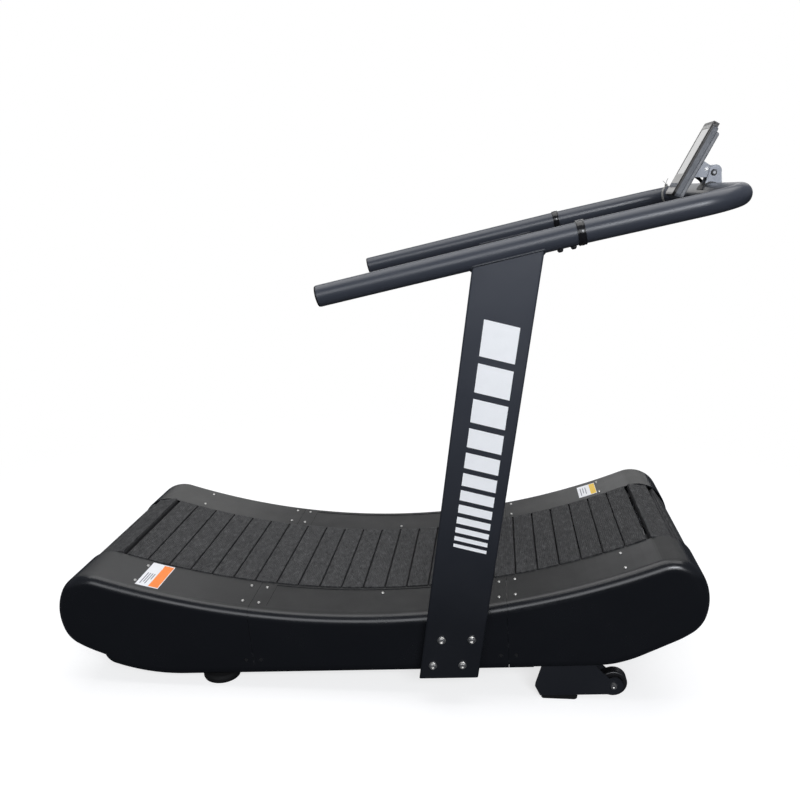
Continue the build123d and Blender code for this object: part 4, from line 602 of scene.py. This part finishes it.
# material: the CAD pieces that wear it, * standing for right and left
WEARERS = {
    "cover": "rear_cover_* middle_cover_* front_cover_*",
    "screw": "cover_screws",
    "base": "cross_members outriggers front_foot_brackets base_rail_* side_plate_*",
    "frame": "front_u_bar upright_* handrail_*",
    "zinc": "cover_cleats belt_tensioners roller_bolts upright_spacers upright_bolts "
            "wheel_bolts rear_foot_stud_*",
    "shaft": "front_shaft rear_shaft bearing_inserts joint_sleeves",
    "pulley": "front_pulleys rear_pulleys",
    "casting": "bearing_housings",
    "belt": "drive_belts",
    "carrier": "slat_carriers",
    "tread": "slat_treads",
    "nylon": "guide_rollers",
    "black_plastic": "speed_sensor handrail_end_plugs",
    "collar": "joint_collars",
    "black_bolt": "handrail_bolts",
    "foot": "front_foot_pads rear_foot_*",
    "wheel": "transport_wheel_*",
    "bracket": "console_bracket",
    "pivot": "console_pivot_bolt",
    "plate": "console_mount_plate",
    "shell": "console_housing",
    "bezel": "console_bezel",
    "lens": "console_lens",
    "back": "console_back_cover",
    "button": "console_button_1 console_button_2 console_button_3 console_button_4",
    "cable": "console_cable",
    "tie": "cable_tie",
}


def dress_pieces():
    worn = {piece.replace("*", side): MATERIALS[key]
            for key, pieces in WEARERS.items()
            for piece in pieces.split()
            for side, _ in SIDES}
    for name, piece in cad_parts.items():
        piece.data.materials.clear()
        piece.data.materials.append(worn[name])


dress_pieces()


# ---------------------------------------------------------------- mesh helpers
def mesh_object(name, verts, faces, material, smooth_quads=False):
    mesh = bpy.data.meshes.new(name)
    mesh.from_pydata([tuple(vert) for vert in verts], [], faces)
    mesh.update()
    mesh.materials.append(material)
    shape = bmesh.new()
    shape.from_mesh(mesh)
    bmesh.ops.recalc_face_normals(shape, faces=shape.faces)
    for face in shape.faces:
        face.smooth = smooth_quads and len(face.verts) == 4
    shape.to_mesh(mesh)
    shape.free()
    made = bpy.data.objects.new(name, mesh)
    bpy.context.scene.collection.objects.link(made)
    return made


def sheet(name, point, columns, thickness, material):
    """Thin closed sheet on the frame, over a grid of point(share, share, lift)."""
    rows = 2
    verts = [point(i / columns, j / rows, lift)
             for lift in (thickness, 0.0)
             for i in range(columns + 1)
             for j in range(rows + 1)]

    def at(layer, i, j):
        return (layer * (columns + 1) + i) * (rows + 1) + j

    faces = []
    for i in range(columns):
        for j in range(rows):
            faces.append((at(0, i, j), at(0, i + 1, j), at(0, i + 1, j + 1), at(0, i, j + 1)))
            faces.append((at(1, i, j), at(1, i, j + 1), at(1, i + 1, j + 1), at(1, i + 1, j)))
    for i in range(columns):
        for j in (0, rows):
            faces.append((at(0, i, j), at(0, i + 1, j), at(1, i + 1, j), at(1, i, j)))
    for j in range(rows):
        for i in (0, columns):
            faces.append((at(0, i, j), at(0, i, j + 1), at(1, i, j + 1), at(1, i, j)))
    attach(mesh_object(name, verts, faces, material), "frame")


def frames_along(points):
    """Two cross axes at each point of a line, carried along with little twist."""
    last = len(points) - 1
    tangents = [(points[min(i + 1, last)] - points[max(i - 1, 0)]).normalized()
                for i in range(last + 1)]
    first = tangents[0]
    up = Vector((0, 0, 1)) if abs(first.z) < 0.9 else Vector((0, 1, 0))
    axis = (up - first * up.dot(first)).normalized()
    axes = []
    for tangent in tangents:
        axis = (axis - tangent * axis.dot(tangent)).normalized()
        axes.append((axis.copy(), tangent.cross(axis)))
    return axes


def rod(name, points, radius, material, body=None, segments=12, flatten=1.0,
        ripple=0.0, pitch=0.004):
    """Rod along points; ripple is a share of the radius, repeating every pitch."""
    verts, faces, run = [], [], 0.0
    for i, (axis, cross) in enumerate(frames_along(points)):
        if i:
            run += (points[i] - points[i - 1]).length
        swell = (1.0 + ripple * sin(2 * pi * run / pitch)
                 + ripple * 0.5 * sin(2 * pi * run / (pitch * 2.7) + 1.0))
        ring = radius * swell
        for k in range(segments):
            angle = 2 * pi * k / segments
            verts.append(points[i] + axis * (ring * cos(angle))
                         + cross * (ring * flatten * sin(angle)))
    last = (len(points) - 1) * segments
    for start in range(0, last, segments):
        for k in range(segments):
            after = (k + 1) % segments
            faces.append((start + k, start + after,
                          start + segments + after, start + segments + k))
    faces.append(tuple(reversed(range(segments))))
    faces.append(tuple(last + k for k in range(segments)))
    made = mesh_object(name, verts, faces, material, smooth_quads=True)
    if body:
        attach(made, body)
    return made


def bezier(start, leave, arrive, end, steps):
    return [start * (1 - t) ** 3 + leave * 3 * t * (1 - t) ** 2
            + arrive * 3 * t * t * (1 - t) + end * t ** 3
            for t in [i / steps for i in range(steps + 1)]]


# ------------------------------------------------------------------ weld beads
WELD_STAND_OFF = 0.2    # bead centre outside the upright's faces
WELD_INSET = 1.0        # side runs stop this short of the upright's edges
WELD_RUN_STEPS = 60
WELD_ARC_STEPS = 12


def seam_z(along, drop):
    """Height at which an upright meets the rail surface, drop below the rail's axis."""
    slope = tan(RAIL_SLOPE)
    rail_height = RAIL_Z + slope * (UPRIGHT_X + along) - drop / cos(RAIL_SLOPE)
    return rail_height / (1 - slope * tan(UPRIGHT_LEAN))


def seam_point(along, y, drop):
    z = seam_z(along, drop)
    return row_point(upright_x(z, along), y, z)


def weld_run(start, end, y):
    """Along one side face of the upright."""
    drop = sqrt(RAIL_RADIUS ** 2 - UPRIGHT_HALF_WIDTH ** 2)
    return [seam_point(start + (end - start) * k / WELD_RUN_STEPS, y, drop)
            for k in range(WELD_RUN_STEPS + 1)]


def weld_arc(along, sign, turn):
    """Under the rail, across the front or rear face; turn 1 runs inwards."""
    points = []
    for k in range(1, WELD_ARC_STEPS):
        share = turn * (1 - 2 * k / WELD_ARC_STEPS)
        angle = share * asin(UPRIGHT_HALF_WIDTH / RAIL_RADIUS)
        points.append(seam_point(along, sign * (UPRIGHT_Y + RAIL_RADIUS * sin(angle)),
                                 RAIL_RADIUS * cos(angle)))
    return points


def weld_bead(side, sign):
    face = UPRIGHT_HALF_WIDTH + WELD_STAND_OFF
    rear, front = WELD_INSET, UPRIGHT_DEPTH - WELD_INSET
    loop = (weld_run(rear, front, sign * (UPRIGHT_Y + face))
            + weld_arc(UPRIGHT_DEPTH + WELD_STAND_OFF, sign, turn=1)
            + weld_run(front, rear, sign * (UPRIGHT_Y - face))
            + weld_arc(-WELD_STAND_OFF, sign, turn=-1))
    # the first two points come again, so that the ends overlap
    rod("weld_handrail_" + side, loop + loop[:2], radius=0.0031, material=MATERIALS["weld"],
        body="frame", segments=10, ripple=0.13, pitch=0.0042)


for side, sign in SIDES:
    weld_bead(side, sign)

# ------------------------------------------------------------- upright graphic
STRIPE_TOP = 968.0
STRIPE_INSET = 44.0     # from the upright's rear edge
STRIPE_WIDTH = 88.0
STRIPE_FALL = 24.0      # slant, down towards the front
STRIPE_GAP = 0.05       # between the upright's face and the film
# bar height, gap below it, from the top down
STRIPES = (
    (86, 17), (70, 16), (58, 15), (48, 14), (40, 13), (33, 12),
    (27, 11.5), (22, 11), (18, 10.5), (14.5, 10), (11.5, 9.5), (9, 9),
)


def stripes(side, sign):
    """A ladder of slanted bars that gets finer towards the floor."""
    top = STRIPE_TOP
    for k, (height, gap) in enumerate(STRIPES):
        bottom = top - height

        def bar(across, up, lift):
            z = bottom + (top - bottom) * up - STRIPE_FALL * across
            y = sign * (UPRIGHT_Y + UPRIGHT_HALF_WIDTH + STRIPE_GAP + lift)
            return row_point(upright_x(z, STRIPE_INSET + STRIPE_WIDTH * across), y, z)

        sheet("stripe_%s_%02d" % (side, k), bar, columns=4, thickness=0.18,
              material=MATERIALS["graphic"])
        top = bottom - gap


for side, sign in SIDES:
    stripes(side, sign)

# --------------------------------------------------------------- flange labels
PAPER_LIFT = 0.06
INK_LIFT = 0.22
BAND_MARGIN = 4.0       # band's ends inside the paper
RULE_WIDTH = 2.8


def flange_patch(name, x_span, y_span, lift, columns, thickness, material):
    def point(across, along, rise):
        return flange_point(x_span[0] + (x_span[1] - x_span[0]) * across,
                            y_span[0] + (y_span[1] - y_span[0]) * along, lift + rise)

    sheet(name, point, columns, thickness, MATERIALS[material])


def flange_label(name, x_span, y_span, band, band_material, rules):
    """Blank sticker: white paper, a colour band and plain rules.

    band: its x span in shares of the paper; rules: x share, y share from, y share to."""
    x_start, y_start = x_span[0], y_span[0]
    width, length = x_span[1] - x_start, y_span[1] - y_start
    margin = BAND_MARGIN if length > 0 else -BAND_MARGIN
    flange_patch(name + "_paper", x_span, y_span, PAPER_LIFT, columns=6, thickness=0.14,
                 material="label_white")
    flange_patch(name + "_band", [x_start + width * share for share in band],
                 (y_start + margin, y_span[1] - margin), INK_LIFT, columns=4,
                 thickness=0.07, material=band_material)
    for k, (across, start, end) in enumerate(rules):
        x = x_start + width * across
        flange_patch("%s_rule_%d" % (name, k), (x, x + RULE_WIDTH),
                     (y_start + length * start, y_start + length * end), INK_LIFT,
                     columns=2, thickness=0.05, material="label_grey")


flange_label("rear_label", x_span=(-671.0, -609.5), y_span=(-220.5, -354.5),
             band=(0.55, 0.97), band_material="label_orange",
             rules=((0.12, 0.45, 0.92), (0.22, 0.45, 0.85), (0.32, 0.45, 0.90),
                    (0.42, 0.45, 0.70)))
flange_label("front_label", x_span=(611.0, 669.5), y_span=(338.0, 240.0),
             band=(0.68, 0.98), band_material="label_yellow",
             rules=((0.14, 0.2, 0.85), (0.28, 0.2, 0.7), (0.42, 0.2, 0.8)))


# --------------------------------------------------------------- cable and tie
def console_cable():
    """From the front of the U bar to the back of the console."""
    leave_bar = BAR_LENGTH - 4
    path = bezier(bar_point(leave_bar, 34, 6), bar_point(leave_bar, 34, 44),
                  console_point(70, 30, -58), console_point(78, 24, -33.4), steps=36)
    cable = rod("console_cable_run", path, radius=0.0042, material=MATERIALS["cable"],
                segments=14)
    tuple(path[2])
    tuple(path[-3])
    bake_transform(cable)
    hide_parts("console_cable")


def console_wires():
    """Two thin loops behind the console; each has a y shift and a bulge downwards."""
    for k, (shift, bulge) in enumerate(((5.0, 10.0), (9.0, 16.0))):
        path = bezier(console_point(60, 20 + shift, -31.5),
                      console_point(56 - bulge, 22 + shift, -44),
                      console_point(64 - bulge, 22 + shift, -52),
                      console_point(74, 15 + shift, -35), steps=20)
        rod("console_wire_%d" % k, path, radius=0.0007, material=MATERIALS["cable"],
            body="console", segments=8)


def tie_tails():
    """Two flat tails standing up from the middle of the U bar's left bend."""
    bend_angle = radians(45.0)
    tie_along = BAR_LENGTH - BAR_BEND + BAR_BEND * sin(bend_angle)
    tie_y = UPRIGHT_Y - BAR_BEND + BAR_BEND * cos(bend_angle)
    # y shift, lean along the bar, length
    for k, (shift, lean, length) in enumerate(((-2.0, -9.0, 17.0), (3.0, 8.0, 21.0))):
        path = [bar_point(tie_along + lean * t * t, tie_y + shift - 4 * t * t,
                          27.5 + length * t)
                for t in [i / 10 for i in range(11)]]
        rod("tie_tail_%d" % k, path, radius=0.0017, material=MATERIALS["tie"],
            body="frame", segments=8, flatten=0.45)


console_cable()
console_wires()
tie_tails()


# ------------------------------------------------------------- floor and light
def studio_world():
    """White to the camera; for all other rays dark below and a dim blue-grey above."""
    world = bpy.data.worlds.new("studio")
    bpy.context.scene.world = world
    sky = ShaderTree(world, output="OutputWorld")
    height = sky.ramp(sky.xyz(sky.coordinates["Generated"])[2], span=(-1.0, 1.0))
    gradient = sky.node("ValToRGB", {0: height})
    stops = ((0.46, (0.008, 0.009, 0.011, 1)), (0.62, (0.20, 0.215, 0.25, 1)))
    for element, (position, colour) in zip(gradient.color_ramp.elements, stops):
        element.position = position
        element.color = colour
    ambient = sky.shader("Background", gradient.outputs[0], strength=0.8)
    white = sky.shader("Background", (1, 1, 1), strength=1.0)
    seen = sky.node("LightPath").outputs["Is Camera Ray"]
    sky.finish(sky.mix_shaders(ambient, white, share=seen))


def floor_material():
    """Pale to the camera with a soft contact shadow, plain white far away; kept dim
    in reflections, as a flagged studio floor is."""
    mat = new_material("floor_pale")
    near = mat.node("AddShader", {
        0: mat.shader("BsdfDiffuse", (0.40, 0.40, 0.403)),
        1: mat.shader("Emission", (1, 1, 1), strength=0.70)}).outputs[0]
    far = mat.shader("Emission", (1, 1, 1), strength=1.0)
    distance = mat.node("VectorMath", {0: mat.place}, operation="LENGTH").outputs["Value"]
    seen = mat.mix_shaders(near, far, share=mat.ramp(distance, span=(1.3, 2.6), smooth=True))
    dim = mat.shader("BsdfDiffuse", (0.05, 0.053, 0.06))
    camera_ray = mat.node("LightPath").outputs["Is Camera Ray"]
    return mat.finish(mat.mix_shaders(dim, seen, share=camera_ray))


def studio_floor():
    """A flat disc."""
    sides, radius = 64, 14.0
    mesh = bpy.data.meshes.new("studio_floor")
    rim = [(radius * cos(2 * pi * i / sides), radius * sin(2 * pi * i / sides), 0.0)
           for i in range(sides)]
    mesh.from_pydata([(0, 0, 0)] + rim, [],
                     [(0, 1 + i, 1 + (i + 1) % sides) for i in range(sides)])
    disc = bpy.data.objects.new("studio_floor", mesh)
    bpy.context.scene.collection.objects.link(disc)
    mesh.materials.append(floor_material())


def area_light(name, place, target, width, height, power, colour):
    data = bpy.data.lights.new(name, "AREA")
    data.shape = "RECTANGLE"
    data.size = width
    data.size_y = height
    data.energy = power
    data.color = colour
    light = bpy.data.objects.new(name, data)
    light.location = place
    light.rotation_mode = "QUATERNION"
    light.rotation_quaternion = (Vector(target) - Vector(place)).to_track_quat("-Z", "Y")
    light.visible_camera = False
    bpy.context.scene.collection.objects.link(light)


def studio_camera():
    """On the right-hand side, looking down to the left."""
    data = bpy.data.cameras.new("camera")
    data.sensor_width = 36.0
    data.lens = 36.3456
    data.shift_x = -0.0642375
    data.shift_y = 0.0861125
    data.clip_start = 0.05
    data.clip_end = 100.0
    right = (0.998619, 0.051292, 0.01135)
    up = (-0.027479, 0.325875, 0.945013)
    back = (0.044773, -0.94402, 0.326835)
    pose = Matrix((right, up, back)).transposed().to_4x4()
    pose.translation = (0.293332, -2.320709, 1.347291)
    camera = bpy.data.objects.new("camera", data)
    camera.matrix_world = pose
    bpy.context.scene.collection.objects.link(camera)
    bpy.context.scene.camera = camera


studio_world()
studio_floor()
area_light("overhead", place=(0.1, 0.5, 4.2), target=(0.1, 0.2, 0.0),
           width=5.5, height=3.6, power=150, colour=(1.0, 0.995, 0.985))
area_light("back", place=(0.0, 5.0, 2.3), target=(0.0, 0.0, 0.6),
           width=7.0, height=2.4, power=60, colour=(1.0, 0.99, 0.97))
area_light("front_soft", place=(0.3, -4.8, 2.5), target=(0.2, -0.3, 0.9),
           width=5.8, height=2.0, power=122, colour=(0.95, 0.97, 1.0))
area_light("key", place=(1.7, -4.6, 3.0), target=(0.3, -0.3, 1.1),
           width=1.8, height=1.2, power=95, colour=(0.92, 0.95, 1.0))
studio_camera()
bpy.context.scene.view_settings.view_transform = "Standard"
bpy.context.scene.view_settings.look = "None"
